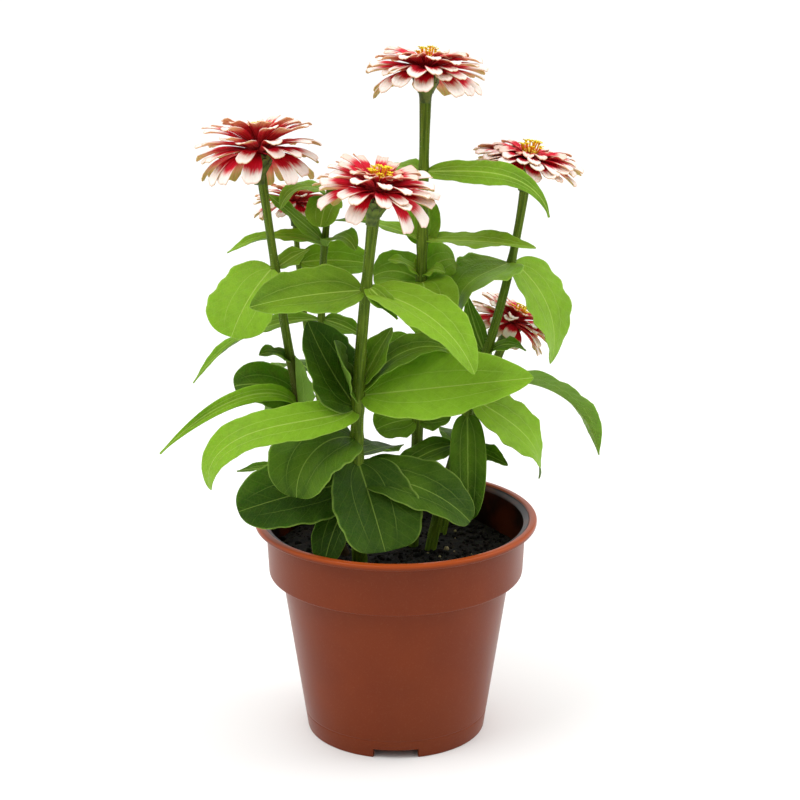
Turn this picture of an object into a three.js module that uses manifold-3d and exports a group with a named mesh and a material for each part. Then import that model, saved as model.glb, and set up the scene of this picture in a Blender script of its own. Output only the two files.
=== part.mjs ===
// A zinnia in flower in a 15 cm nursery pot.
// Millimetres, +Z up, origin at the middle of the pot's foot, on the surface it stands on.
// The pot's notched side and the front of the plant face -Y.

import * as THREE from "three";
import { mergeVertices } from "three/addons/utils/BufferGeometryUtils.js";
import Module from "manifold-3d";

const wasm = await Module();
wasm.setup();

// Pot
const RIM_RADIUS = 75;
const POT_HEIGHT = 119;
const LIP_HEIGHT = 3;
const LIP_INNER_RADIUS = 70.8;
const BAND_TOP_RADIUS = 69;
const BAND_FOOT_RADIUS = 67.7;
const BAND_FOOT_HEIGHT = 88.6;
const BODY_TOP_RADIUS = 61;
const FOOT_RADIUS = 48;
const FOOT_RING_WIDTH = 3;
const BASE_HEIGHT = 4;
const WALL = 1.4;
const RIM_EDGE = 1.4;
const LIP_SLOPE_DEPTH = 2.4;
const POT_SEGMENTS = 30;
const NOTCH_COUNT = 3;
const NOTCH_WIDTH = 24;
const NOTCH_HEIGHT = 5;
const NOTCH_DEPTH = 14;
const DRAIN_COUNT = 4;
const DRAIN_RADIUS = 4;
const DRAIN_RING_RADIUS = 27;
const DRAIN_SEGMENTS = 8;

// Soil
const SOIL_TOP = 98;
const SOIL_ROUGHNESS = 1.6;
const SOIL_RINGS = 5;
const SOIL_SECTORS = 22;

// Clear gap between pieces that touch
const GAP = 0.3;

// Blades
const LEAF_THICKNESS = 0.7;
const PETAL_THICKNESS = 0.7;
const STALK_WIDTH = 4;
const LEAF_ROOT_OUT = 1.4;
const TIP_WIDTH = 1.2;
const SPINE_STEPS = 48;
const STEM_SIDES = 6;
const STEM_STEPS = 8;
const STEM_END = 0.975;
const STEM_DEPTH_IN_SOIL = 14;
const HOLE_CLEARANCE = 0.9;
const HOLE_OVERRUN = 8;

// Cup of bracts under a bloom, and the core that carries its petals
const CUP_RADIUS = 7.4;
const CUP_HEIGHT = 15;
const BRACTS_PER_ROW = 7;
const CORE_RADIUS = 6.8;
const CORE_HEIGHT = 8;
const CORE_SIDES = 8;
const DISC_RADIUS = 4.6;
const FLORETS_PER_RING = 8;

// Leaf outlines: half-width goes as s^rise_power times (1 - s)^fall_power, scaled to 1 at its widest
const BLUNT = { rise: 0.3, fall: 0.22 };
const BROAD = { rise: 0.36, fall: 0.4 };
const OVATE = { rise: 0.5, fall: 0.7 };
const LANCE = { rise: 0.5, fall: 1.0 };

// A leaf: at is its place on the stem from 0, the root, to 1, the bloom. az is its heading from +X
// towards +Y, rise its pitch where it leaves the stem, and droop how far the pitch falls by the tip.
// bend above 1 keeps the droop for the outer part. roll turns the blade about its rib, fold lifts
// both halves from the rib, and sweep and twist turn heading and roll along it. Angles in degrees.
const LEAF_DEFAULTS = { sweep: 0, bend: 1, twist: 0, roll: 0, fold: 14, wave: 1.5, shape: OVATE };

// A stem: path has the four control points of a cubic curve from the soil to the bloom's seat.
const STEMS = [
  {
    name: "stem_front",
    path: [[-18, -20, 84], [-23, -27, 170], [-19, -33, 215], [-9.5, -38, 299]],
    radii: [4.2, 2.6],
    bloom: { name: "front", az: -45, tilt: 18, radius: 30, droop: 0, stack: 0.85 },
    leaves: [
      { at: 0.33, az: -62, rise: -50, droop: 6, length: 50, width: 49, shape: BLUNT },
      { at: 0.34, az: 60, rise: -5, droop: 5, length: 35, width: 28, shape: BROAD },
      { at: 0.27, az: -165, rise: -5, droop: 10, length: 62, width: 42, roll: -38, fold: 10, shape: BROAD },
      { at: 0.29, az: -5, rise: -5, droop: 45, bend: 1.5, length: 64, width: 34, roll: 30, shape: BROAD },
      { at: 0.25, az: -125, rise: -30, droop: 40, length: 43, width: 22, roll: -10, shape: BROAD },
      { at: 0.39, az: -145, rise: 25, droop: 120, length: 52, width: 44, roll: -20, fold: 10, shape: BROAD },
      { at: 0.47, az: -131, rise: 2, droop: 114, bend: 3.6, sweep: -58, length: 101, width: 24, roll: -32, fold: 6, shape: BROAD },
      { at: 0.51, az: -10, rise: 9, droop: 0, length: 89, width: 42, roll: 40, fold: 12 },
      { at: 0.48, az: -170, rise: 55, droop: -15, length: 52, width: 38, roll: -50, fold: 12 },
      { at: 0.5, az: -130, rise: 60, droop: -10, length: 38, width: 26, roll: -50 },
      { at: 0.54, az: 20, rise: 62, droop: 5, length: 33, width: 18, roll: 20 },
      { at: 0.52, az: 10, rise: 55, droop: 95, bend: 1.5, length: 61, width: 20, roll: 20 },
      { at: 0.79, az: -165, rise: 0, droop: 12, bend: 1.5, length: 58, width: 36, roll: -28 },
      { at: 0.79, az: -30, rise: -6, droop: 60, bend: 1.5, length: 73, width: 32, roll: 14 },
      { at: 0.8, az: -50, rise: -20, droop: 20, sweep: 5, length: 25, width: 12, roll: 20, shape: LANCE },
    ],
  },
  {
    name: "stem_left",
    path: [[-22, -4, 84], [-50, 0, 150], [-58, -2, 225], [-69, -4, 313]],
    radii: [3.0, 2.1],
    bloom: { name: "left", az: 95, tilt: 9, radius: 31, droop: 16, stack: 1.1 },
    leaves: [
      { at: 0.77, az: -158, rise: -40, droop: 18, bend: 0.7, sweep: 33, length: 42, width: 44, roll: -14, fold: 7, shape: BROAD },
      { at: 0.77, az: 30, rise: 30, droop: 15, length: 20, width: 14, roll: 20, shape: LANCE },
      { at: 0.56, az: -150, rise: 50, droop: 60, length: 19, width: 13, roll: -20, fold: 24 },
      { at: 0.45, az: -133, rise: 79, droop: 109, bend: 0.37, length: 103, width: 10, roll: -58, fold: 26, shape: LANCE },
      { at: 0.46, az: -175, rise: 50, droop: 65, length: 36, width: 26, roll: -50, shape: BROAD },
      { at: 0.44, az: -100, rise: 62, droop: -25, length: 34, width: 30, roll: -60, shape: BROAD },
      { at: 0.42, az: 118, rise: 15, droop: 60, length: 40, width: 22 },
      { at: 0.3, az: -175, rise: 5, droop: 12, length: 40, width: 13, roll: -10, fold: 20, shape: LANCE },
    ],
  },
  {
    name: "stem_tall",
    path: [[8, 10, 84], [13, 14, 170], [13, 12, 250], [15.5, 10, 352]],
    radii: [3.4, 2.5],
    bloom: { name: "tall", az: 75, tilt: 8, radius: 30, droop: -4, stack: 0.72 },
    leaves: [
      { at: 0.83, az: -36, rise: 7, droop: 88, bend: 3.3, sweep: 10, length: 80, width: 16, roll: 38, fold: 6, shape: LANCE },
      { at: 0.83, az: 160, rise: 15, droop: 50, length: 28, width: 17, roll: -10, shape: LANCE },
      { at: 0.7, az: 165, rise: 25, droop: 30, length: 47, width: 15, roll: -5, fold: 18, shape: LANCE },
      { at: 0.7, az: 0, rise: 1, droop: 3, sweep: -30, length: 59, width: 19, roll: 12 },
      { at: 0.69, az: 90, rise: 60, droop: 10, length: 26, width: 20, shape: BROAD },
      { at: 0.62, az: 150, rise: 30, droop: 65, length: 29, width: 24, roll: -50, shape: BROAD },
      { at: 0.63, az: -165, rise: 60, droop: 60, length: 20, width: 11, roll: -20 },
      { at: 0.62, az: 40, rise: 60, droop: 80, length: 25, width: 22, roll: 50, shape: BROAD },
      { at: 0.63, az: -30, rise: 55, droop: 80, length: 14, width: 10, roll: 20 },
      { at: 0.62, az: -80, rise: 0, droop: 88, length: 40, width: 34, roll: 10 },
      { at: 0.48, az: 175, rise: 5, droop: 40, length: 36, width: 20, roll: -50 },
      { at: 0.44, az: 95, rise: 20, droop: 75, length: 52, width: 26 },
      { at: 0.33, az: -165, rise: 5, droop: 30, length: 22, width: 24, roll: -40, shape: BROAD },
      { at: 0.33, az: -15, rise: 15, droop: 10, length: 17, width: 18, roll: 40, shape: BROAD },
    ],
  },
  {
    name: "stem_right",
    path: [[16, 2, 84], [28, 14, 160], [60, 18, 215], [68, 18, 305]],
    radii: [3.2, 2.1],
    bloom: { name: "right", az: 10, tilt: 10, radius: 28, droop: -20, stack: 0.5 },
    leaves: [
      { at: 0.79, az: -137, rise: -10, droop: 122, bend: 3, sweep: -34, length: 44, width: 50, fold: 10 },
      { at: 0.79, az: -14, rise: -37, droop: 68, bend: 1.1, sweep: 11, length: 61, width: 41, roll: 20, fold: 7 },
      { at: 0.57, az: 140, rise: 60, droop: -15, length: 33, width: 11, roll: -60, shape: LANCE },
      { at: 0.57, az: -15, rise: 52, droop: 88, length: 22, width: 11, roll: 20, shape: LANCE },
      { at: 0.41, az: -90, rise: -35, droop: 50, length: 58, width: 20, shape: BROAD },
      { at: 0.45, az: -16, rise: -29, droop: 72, bend: 2.2, sweep: 35, length: 60, width: 39, roll: 21, fold: 6 },
      { at: 0.53, az: 125, rise: 0, droop: 60, length: 38, width: 22 },
      { at: 0.33, az: -20, rise: -10, droop: 15, length: 28, width: 15, roll: 15 },
      { at: 0.33, az: -146, rise: 5, droop: 40, length: 42, width: 18, roll: -20 },
    ],
  },
  {
    name: "shoot_young",
    path: [[-10, 16, 84], [-40, 30, 140], [-46, 32, 205], [-33, 26, 296]],
    radii: [2.6, 1.8],
    leaves: [
      { at: 0.96, az: -160, rise: 55, droop: 130, length: 32, width: 15, roll: -10 },
      { at: 0.96, az: -105, rise: -20, droop: 40, length: 20, width: 20, shape: BROAD },
      { at: 0.97, az: 20, rise: 45, droop: 50, length: 22, width: 11 },
      { at: 0.86, az: -170, rise: 25, droop: 55, length: 52, width: 17, roll: -8, fold: 18, shape: LANCE },
      { at: 0.86, az: -45, rise: 60, droop: 115, length: 26, width: 16, roll: 10 },
      { at: 0.87, az: -170, rise: 42, droop: 0, length: 38, width: 11, roll: -40 },
      { at: 0.5, az: 60, rise: 20, droop: 75, length: 44, width: 20 },
      { at: 0.69, az: -170, rise: 5, droop: 60, length: 78, width: 15, roll: -10, fold: 22, shape: LANCE },
      { at: 0.69, az: -10, rise: -10, droop: 25, length: 24, width: 13, roll: 30, fold: 18, shape: LANCE },
    ],
  },
  {
    name: "stem_back_left",
    path: [[-14, 34, 84], [-44, 48, 150], [-52, 52, 220], [-54, 50, 276]],
    radii: [2.4, 1.4],
    bloom: { name: "small", az: 80, tilt: 8, radius: 21, droop: 0, scale: 0.75 },
    leaves: [
      { at: 0.82, az: -5, rise: 10, droop: 20, length: 37, width: 22, roll: 50, shape: BROAD },
      { at: 0.5, az: 132, rise: 20, droop: 75, length: 38, width: 20 },
    ],
  },
  {
    name: "stem_back_right",
    path: [[22, 24, 84], [30, 42, 130], [48, 46, 175], [62, 45, 211]],
    radii: [3.0, 2.3],
    bloom: { name: "low", az: 10, tilt: 28, radius: 24, droop: 0, scale: 0.85, stack: 0.9 },
    leaves: [
      { at: 0.72, az: 10, rise: 8, droop: 88, sweep: 10, length: 87, width: 30, roll: -21, fold: 20, shape: LANCE },
      { at: 0.72, az: 160, rise: 15, droop: 60, length: 29, width: 20, roll: -10 },
      { at: 0.45, az: 100, rise: 30, droop: 100, length: 40, width: 22 },
    ],
  },
];

// Rows of ray petals from the outermost, lowest one inward. reach is the share of the bloom's radius,
// and hang the share of the bloom's own droop that the row takes up.
const PETAL_ROWS = [
  { count: 10, reach: 1, seat: 1.3, rise: -3, droop: 44, bend: 1, width: 10.5, hang: 1 },
  { count: 8, reach: 0.97, seat: 2.8, rise: 11, droop: 32, bend: 1.5, width: 9.5, hang: 0.5 },
  { count: 7, reach: 0.85, seat: 4.4, rise: 24, droop: 38, bend: 2.4, width: 9, hang: 0 },
  { count: 5, reach: 0.58, seat: 6.2, rise: 40, droop: 48, bend: 2.4, width: 7.5, hang: 0 },
];
const SMALL_BLOOM_SHARE = 0.8;
const FULL_BLOOM_RADIUS = 30;
const PETAL_SEAT_RADIUS = 5;
const PETAL_SECTIONS = [[0, 0.24], [0.42, 0.78], [0.8, 1], [1, 0.56]];
const SHORT_PETAL_SECTIONS = [[0, 0.3], [0.7, 1], [1, 0.6]];
const LONG_ROWS = 2;

const COLORS = {
  pot: 0x9a4a2e,
  soil: 0x15130f,
  green: 0x5a8a2c,
  rays: 0xb23a52,
  disc: 0xe0b021,
};

const degrees = THREE.MathUtils.degToRad;

/** Repeatable scatter between -1 and 1 for whole numbers a and b. */
function scatter(a, b) {
  const wave = Math.sin(a * 12.9898 + b * 78.233) * 43758.5453;
  return 2 * (wave - Math.floor(wave)) - 1;
}

/** Closed solid of a geometry, with its shared vertices merged. */
function solidOf(geometry) {
  geometry.deleteAttribute("normal");
  geometry.deleteAttribute("uv");
  const merged = mergeVertices(geometry);
  const vertProperties = new Float32Array(merged.attributes.position.array);
  const triVerts = new Uint32Array(merged.index.array);
  return new wasm.Manifold(new wasm.Mesh({ numProp: 3, vertProperties, triVerts }));
}

/** Geometry of points and triangles given as lists. */
function geometryOf(points, triangles) {
  const geometry = new THREE.BufferGeometry();
  geometry.setAttribute("position", new THREE.Float32BufferAttribute(points.flatMap((p) => p.toArray()), 3));
  geometry.setIndex(triangles.flat());
  return geometry;
}

/** Solid of revolution about Z from a closed or axis-to-axis profile of [radius, height]. */
function turned(profile, segments) {
  const outline = profile.map(([radius, height]) => new THREE.Vector2(radius, height));
  const geometry = new THREE.LatheGeometry(outline, segments);
  return geometry.rotateX(Math.PI / 2);
}

/** Joins a list of solids in one. */
function joined(solids) {
  return solids.reduce((whole, solid) => whole.add(solid));
}

/** Named mesh of a solid. */
function meshOf(name, solid, color, roughness) {
  const result = solid.getMesh();
  const geometry = new THREE.BufferGeometry();
  geometry.setAttribute("position", new THREE.BufferAttribute(result.vertProperties, 3));
  geometry.setIndex(new THREE.BufferAttribute(result.triVerts, 1));
  geometry.computeVertexNormals();
  const material = new THREE.MeshStandardMaterial({ color, roughness, metalness: 0 });
  const mesh = new THREE.Mesh(geometry, material);
  mesh.name = name;
  return mesh;
}

/** Closed blade between an upper and a lower grid of points, split alike on both faces. */
function blade(upper, lower) {
  const rows = upper.length;
  const columns = upper[0].length;
  const points = [...upper.flat(), ...lower.flat()];
  const top = (i, j) => i * columns + j;
  const under = (i, j) => (rows + i) * columns + j;
  const triangles = [];
  for (let i = 0; i < rows - 1; i += 1) {
    for (let j = 0; j < columns - 1; j += 1) {
      triangles.push([top(i, j), top(i + 1, j), top(i + 1, j + 1)]);
      triangles.push([top(i, j), top(i + 1, j + 1), top(i, j + 1)]);
      triangles.push([under(i, j), under(i + 1, j + 1), under(i + 1, j)]);
      triangles.push([under(i, j), under(i, j + 1), under(i + 1, j + 1)]);
    }
    const last = columns - 1;
    triangles.push([top(i, 0), under(i, 0), under(i + 1, 0)]);
    triangles.push([top(i, 0), under(i + 1, 0), top(i + 1, 0)]);
    triangles.push([top(i, last), under(i + 1, last), under(i, last)]);
    triangles.push([top(i, last), top(i + 1, last), under(i + 1, last)]);
  }
  const end = rows - 1;
  for (let j = 0; j < columns - 1; j += 1) {
    triangles.push([top(0, j), top(0, j + 1), under(0, j + 1)]);
    triangles.push([top(0, j), under(0, j + 1), under(0, j)]);
    triangles.push([top(end, j), under(end, j + 1), top(end, j + 1)]);
    triangles.push([top(end, j), under(end, j), under(end, j + 1)]);
  }
  return solidOf(geometryOf(points, triangles));
}

/** Triangles of a closed shell of rings from a first point, below, to a last point, above. */
function shellTriangles(rings, sides) {
  const at = (i, k) => 1 + i * sides + (k % sides);
  const last = 1 + rings * sides;
  const triangles = [];
  for (let k = 0; k < sides; k += 1) {
    triangles.push([0, at(0, k + 1), at(0, k)]);
    triangles.push([last, at(rings - 1, k), at(rings - 1, k + 1)]);
    for (let i = 0; i < rings - 1; i += 1) {
      triangles.push([at(i, k), at(i, k + 1), at(i + 1, k + 1)]);
      triangles.push([at(i, k), at(i + 1, k + 1), at(i + 1, k)]);
    }
  }
  return triangles;
}

/** Round stalk through sections of a center, a tangent and a radius, with flat ends. */
function stalk(sections) {
  const points = [];
  for (const { center, tangent, radius } of sections) {
    const normal = new THREE.Vector3(1, 0, 0).addScaledVector(tangent, -tangent.x).normalize();
    const binormal = new THREE.Vector3().crossVectors(tangent, normal);
    for (let k = 0; k < STEM_SIDES; k += 1) {
      const angle = (2 * Math.PI * k) / STEM_SIDES;
      const point = center.clone().addScaledVector(normal, radius * Math.cos(angle));
      points.push(point.addScaledVector(binormal, radius * Math.sin(angle)));
    }
  }
  const triangles = [];
  const at = (i, k) => i * STEM_SIDES + (k % STEM_SIDES);
  const last = sections.length - 1;
  for (let i = 0; i < last; i += 1) {
    for (let k = 0; k < STEM_SIDES; k += 1) {
      triangles.push([at(i, k), at(i, k + 1), at(i + 1, k + 1)]);
      triangles.push([at(i, k), at(i + 1, k + 1), at(i + 1, k)]);
    }
  }
  for (let k = 1; k < STEM_SIDES - 1; k += 1) {
    triangles.push([at(0, 0), at(0, k + 1), at(0, k)]);
    triangles.push([at(last, 0), at(last, k), at(last, k + 1)]);
  }
  return solidOf(geometryOf(points, triangles));
}

/** Rib of a blade: points and side and face directions at even steps along it. */
function ribOf(root, form, sections) {
  const point = root.clone();
  const rib = [{ s: 0, point: point.clone() }];
  for (let step = 0; step < SPINE_STEPS; step += 1) {
    const s = (step + 0.5) / SPINE_STEPS;
    const pitch = degrees(form.rise - form.droop * s ** form.bend);
    const yaw = degrees(form.az + form.sweep * s);
    const stride = form.length / SPINE_STEPS;
    point.x += stride * Math.cos(pitch) * Math.cos(yaw);
    point.y += stride * Math.cos(pitch) * Math.sin(yaw);
    point.z += stride * Math.sin(pitch);
    rib.push({ s: (step + 1) / SPINE_STEPS, point: point.clone() });
  }
  return sections.map((s) => {
    const place = rib[Math.round(s * SPINE_STEPS)].point.clone();
    const pitch = degrees(form.rise - form.droop * s ** form.bend);
    const yaw = degrees(form.az + form.sweep * s);
    const along = new THREE.Vector3(
      Math.cos(pitch) * Math.cos(yaw),
      Math.cos(pitch) * Math.sin(yaw),
      Math.sin(pitch),
    );
    const level = new THREE.Vector3(-Math.sin(yaw), Math.cos(yaw), 0);
    const face = new THREE.Vector3().crossVectors(along, level);
    const roll = degrees(form.roll + form.twist * s);
    const side = level.clone().multiplyScalar(Math.cos(roll)).addScaledVector(face, Math.sin(roll));
    const normal = face.multiplyScalar(Math.cos(roll)).addScaledVector(level, -Math.sin(roll));
    return { s, place, side, normal };
  });
}

/** Half-width of a leaf at s along its rib. */
function leafHalfWidth(s, form) {
  const { rise, fall } = form.shape;
  const widest = rise / (rise + fall);
  const peak = widest ** rise * (1 - widest) ** fall;
  const swell = (s ** rise * (1 - s) ** fall) / peak;
  const plain = STALK_WIDTH * (1 - s) + TIP_WIDTH * s;
  return Math.max(plain, form.width * swell) / 2;
}

/** Leaf blade: both halves lifted from the rib by the fold, with a waved margin. */
function leafSolid(root, leaf) {
  const form = { ...LEAF_DEFAULTS, ...leaf };
  const segments = form.length > 58 ? 6 : form.length > 34 ? 4 : 3;
  const sides = form.width > 43 ? [-1, -0.5, 0, 0.5, 1] : [-1, 0, 1];
  const sections = [];
  for (let i = 0; i <= segments; i += 1) {
    sections.push(i / segments);
  }
  if (segments > 3) {
    sections[1] = 0.6 / segments;
  }
  const fold = degrees(form.fold);
  const upper = [];
  const lower = [];
  for (const { s, place, side, normal } of ribOf(root, form, sections)) {
    const half = leafHalfWidth(s, form);
    const row = sides.map((u) => {
      const across = half * u;
      const phase = 1.6 * s + (u > 0 ? 0.25 : 0);
      const ripple = form.wave * u * u * Math.sin(2 * Math.PI * phase) * Math.sin(Math.PI * s);
      const lift = Math.abs(across) * Math.sin(fold) + ripple;
      return place.clone().addScaledVector(side, across * Math.cos(fold)).addScaledVector(normal, lift);
    });
    upper.push(row.map((point) => point.clone().addScaledVector(normal, LEAF_THICKNESS / 2)));
    lower.push(row.map((point) => point.clone().addScaledVector(normal, -LEAF_THICKNESS / 2)));
  }
  return blade(upper, lower);
}

/** Curve of a stem. */
function stemCurve(stem) {
  return new THREE.CubicBezierCurve3(...stem.path.map((point) => new THREE.Vector3(...point)));
}

/** Radius of a stem at t: thickest at the soil. */
function stemRadius(stem, t) {
  const [foot, head] = stem.radii;
  return head + (foot - head) * (1 - t) ** 1.5;
}

/** Stalk of a stem from its foot in the soil to just inside its cup. */
function stemSolid(stem) {
  const curve = stemCurve(stem);
  const sections = [];
  for (let i = 0; i <= STEM_STEPS; i += 1) {
    const t = (STEM_END * i) / STEM_STEPS;
    sections.push({ center: curve.getPoint(t), tangent: curve.getTangent(t), radius: stemRadius(stem, t) });
  }
  return stalk(sections);
}

/** Places a geometry or solid built about the bloom's own axis on the stem's head. */
function bloomMatrix(stem) {
  const { az, tilt } = stem.bloom;
  const lean = degrees(tilt);
  const axis = new THREE.Vector3(
    Math.sin(lean) * Math.cos(degrees(az)),
    Math.sin(lean) * Math.sin(degrees(az)),
    Math.cos(lean),
  );
  const turn = new THREE.Quaternion().setFromUnitVectors(new THREE.Vector3(0, 0, 1), axis);
  const head = new THREE.Vector3(...stem.path[3]);
  return new THREE.Matrix4().compose(head, turn, new THREE.Vector3(1, 1, 1));
}

/** Solid of a geometry that was built about the bloom's axis. */
function onBloom(geometry, stem) {
  return solidOf(geometry.applyMatrix4(bloomMatrix(stem)));
}

/** Cup under the bloom: a funnel whose two rows of overlapping bracts end in pointed tips. */
function cupSolid(stem) {
  const { scale = 1 } = stem.bloom;
  const neck = stem.radii[1] / (CUP_RADIUS * scale);
  // Each level: radius and height at the bracts' tips, then between them, as shares of the cup
  const levels = [
    [neck, -1, neck, -1],
    [neck * 1.2, -0.68, neck * 1.2, -0.68],
    [0.8, -0.34, 0.6, -0.52],
    [0.68, -0.35, 0.56, -0.48],
    [0.84, -0.2, 1.04, -0.03],
    [0.9, 0, 0.9, 0],
  ];
  const sides = 2 * BRACTS_PER_ROW;
  const points = [new THREE.Vector3(0, 0, -CUP_HEIGHT * scale)];
  for (const [tipRadius, tipHeight, gapRadius, gapHeight] of levels) {
    for (let k = 0; k < sides; k += 1) {
      const angle = (2 * Math.PI * k) / sides;
      const radius = (k % 2 ? gapRadius : tipRadius) * CUP_RADIUS * scale;
      const height = (k % 2 ? gapHeight : tipHeight) * CUP_HEIGHT * scale;
      points.push(new THREE.Vector3(radius * Math.cos(angle), radius * Math.sin(angle), height));
    }
  }
  points.push(new THREE.Vector3(0, 0, 0));
  return onBloom(geometryOf(points, shellTriangles(levels.length, sides)), stem);
}

/** Core that carries the petals, a hair above the cup. */
function coreSolid(stem) {
  const { scale = 1, stack = 1 } = stem.bloom;
  const radius = CORE_RADIUS * scale;
  const height = CORE_HEIGHT * scale * stack;
  const profile = [
    [0, GAP],
    [radius, GAP],
    [radius * 0.78, height],
    [0, height],
  ];
  return onBloom(turned(profile, CORE_SIDES), stem);
}

/** Number of petals in a row: a small bloom has fewer. */
function petalCount(stem, rowIndex) {
  const share = stem.bloom.scale ? SMALL_BLOOM_SHARE : 1;
  return Math.round(PETAL_ROWS[rowIndex].count * share);
}

/** One ray petal, built about the bloom's axis and moved onto the stem. */
function petalSolid(stem, rowIndex, k) {
  const { radius, droop, scale = 1, stack = 1 } = stem.bloom;
  const row = PETAL_ROWS[rowIndex];
  const seed = k + 17 * rowIndex;
  const spacing = 360 / petalCount(stem, rowIndex);
  const az = spacing * (k + 0.5 * rowIndex + 0.18 * scatter(seed, 1));
  const seatRadius = PETAL_SEAT_RADIUS * scale;
  const form = {
    az,
    rise: row.rise * (row.rise > 0 ? stack : 1) + 2 * scatter(seed, 2),
    droop: row.droop + droop * row.hang + 4 * scatter(seed, 3),
    bend: row.bend,
    sweep: 0,
    roll: 8 * scatter(seed, 4),
    twist: 0,
    length: (radius * row.reach * (1 + 0.05 * scatter(seed, 5)) - seatRadius) * 1.03,
  };
  const heading = degrees(az);
  const seat = new THREE.Vector3(
    seatRadius * Math.cos(heading),
    seatRadius * Math.sin(heading),
    row.seat * scale * (row.hang ? 1 : stack),
  );
  const width = (row.width * radius) / FULL_BLOOM_RADIUS;
  const matrix = bloomMatrix(stem);
  const upper = [];
  const lower = [];
  const outline = rowIndex < LONG_ROWS ? PETAL_SECTIONS : SHORT_PETAL_SECTIONS;
  const sections = outline.map(([s]) => s);
  ribOf(seat, form, sections).forEach(({ place, side, normal }, i) => {
    const half = (width * outline[i][1]) / 2;
    const edge = [-half, half].map((across) => place.clone().addScaledVector(side, across));
    const lift = (amount) => edge.map((p) => p.clone().addScaledVector(normal, amount).applyMatrix4(matrix));
    upper.push(lift(PETAL_THICKNESS / 2));
    lower.push(lift(-PETAL_THICKNESS / 2));
  });
  return blade(upper, lower);
}

/** All petals of a bloom on their core. */
function raysSolid(stem) {
  const solids = [coreSolid(stem)];
  PETAL_ROWS.forEach((row, rowIndex) => {
    for (let k = 0; k < petalCount(stem, rowIndex); k += 1) {
      solids.push(petalSolid(stem, rowIndex, k));
    }
  });
  return joined(solids);
}

/** Yellow disc: a low dome whose florets stand out of it as two rings of points and a middle one. */
function discSolid(stem) {
  const { scale = 1, stack = 1 } = stem.bloom;
  const foot = CORE_HEIGHT * scale * stack + GAP;
  // Each level: radius and height over the foot at the florets, then between them
  const levels = [
    [0.92, 0, 0.92, 0],
    [1.06, 3, 0.84, 1],
    [0.68, 1.6, 0.7, 1.5],
    [0.46, 2, 0.58, 3.8],
    [0.26, 2.4, 0.26, 2.4],
  ];
  const sides = 2 * FLORETS_PER_RING;
  const points = [new THREE.Vector3(0, 0, foot)];
  for (const [tipRadius, tipHeight, gapRadius, gapHeight] of levels) {
    for (let k = 0; k < sides; k += 1) {
      const angle = (2 * Math.PI * k) / sides;
      const radius = (k % 2 ? gapRadius : tipRadius) * DISC_RADIUS * scale;
      const height = foot + (k % 2 ? gapHeight : tipHeight) * scale;
      points.push(new THREE.Vector3(radius * Math.cos(angle), radius * Math.sin(angle), height));
    }
  }
  points.push(new THREE.Vector3(0, 0, foot + 3.6 * scale));
  return onBloom(geometryOf(points, shellTriangles(levels.length, sides)), stem);
}

/** Stalk, leaves and cup of one stem, grown as one piece. */
function greenSolid(stem) {
  const curve = stemCurve(stem);
  const solids = [stemSolid(stem)];
  for (const leaf of stem.leaves) {
    const heading = degrees(leaf.az);
    const out = new THREE.Vector3(Math.cos(heading), Math.sin(heading), 0);
    const root = curve.getPoint(leaf.at).addScaledVector(out, LEAF_ROOT_OUT);
    solids.push(leafSolid(root, leaf));
  }
  if (stem.bloom) {
    solids.push(cupSolid(stem));
  }
  return joined(solids);
}

/** Pot: a turned shell with notches in its foot ring and drain holes in its raised base. */
function potSolid() {
  const bandInnerTop = BAND_TOP_RADIUS - WALL;
  const bandInnerFoot = BAND_FOOT_RADIUS - WALL;
  const profile = [
    [0, BASE_HEIGHT],
    [FOOT_RADIUS - FOOT_RING_WIDTH, BASE_HEIGHT],
    [FOOT_RADIUS - FOOT_RING_WIDTH + 0.4, 0],
    [FOOT_RADIUS - 0.8, 0],
    [FOOT_RADIUS, 1],
    [BODY_TOP_RADIUS, BAND_FOOT_HEIGHT],
    [BAND_FOOT_RADIUS, BAND_FOOT_HEIGHT],
    [BAND_TOP_RADIUS, POT_HEIGHT - LIP_HEIGHT],
    [RIM_RADIUS - 0.4, POT_HEIGHT - LIP_HEIGHT],
    [RIM_RADIUS, POT_HEIGHT - 1.2],
    [RIM_RADIUS - RIM_EDGE, POT_HEIGHT],
    [LIP_INNER_RADIUS + 0.8, POT_HEIGHT],
    [LIP_INNER_RADIUS, POT_HEIGHT - 1],
    [bandInnerTop, POT_HEIGHT - LIP_SLOPE_DEPTH],
    [bandInnerFoot, BAND_FOOT_HEIGHT + WALL + 1],
    [BODY_TOP_RADIUS - WALL, BAND_FOOT_HEIGHT - 3],
    [FOOT_RADIUS - WALL + 0.4, BASE_HEIGHT + WALL + 1],
    [FOOT_RADIUS - WALL - 1, BASE_HEIGHT + WALL],
    [0, BASE_HEIGHT + WALL],
  ];
  let pot = solidOf(turned(profile, POT_SEGMENTS));
  const inside = FOOT_RADIUS - FOOT_RING_WIDTH;
  const plate = new THREE.CylinderGeometry(inside, inside, 4 * NOTCH_HEIGHT, POT_SEGMENTS);
  const base = solidOf(plate.rotateX(Math.PI / 2));
  for (let k = 0; k < NOTCH_COUNT; k += 1) {
    const notch = new THREE.BoxGeometry(NOTCH_WIDTH, NOTCH_DEPTH, 2 * NOTCH_HEIGHT);
    notch.translate(0, -FOOT_RADIUS, 0);
    notch.rotateZ((2 * Math.PI * k) / NOTCH_COUNT);
    pot = pot.subtract(solidOf(notch).subtract(base));
  }
  for (let k = 0; k < DRAIN_COUNT; k += 1) {
    const hole = new THREE.CylinderGeometry(DRAIN_RADIUS, DRAIN_RADIUS, 3 * BASE_HEIGHT, DRAIN_SEGMENTS);
    hole.rotateX(Math.PI / 2);
    hole.translate(DRAIN_RING_RADIUS, 0, BASE_HEIGHT);
    hole.rotateZ((2 * Math.PI * (k + 0.5)) / DRAIN_COUNT);
    pot = pot.subtract(solidOf(hole));
  }
  return pot;
}

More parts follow.
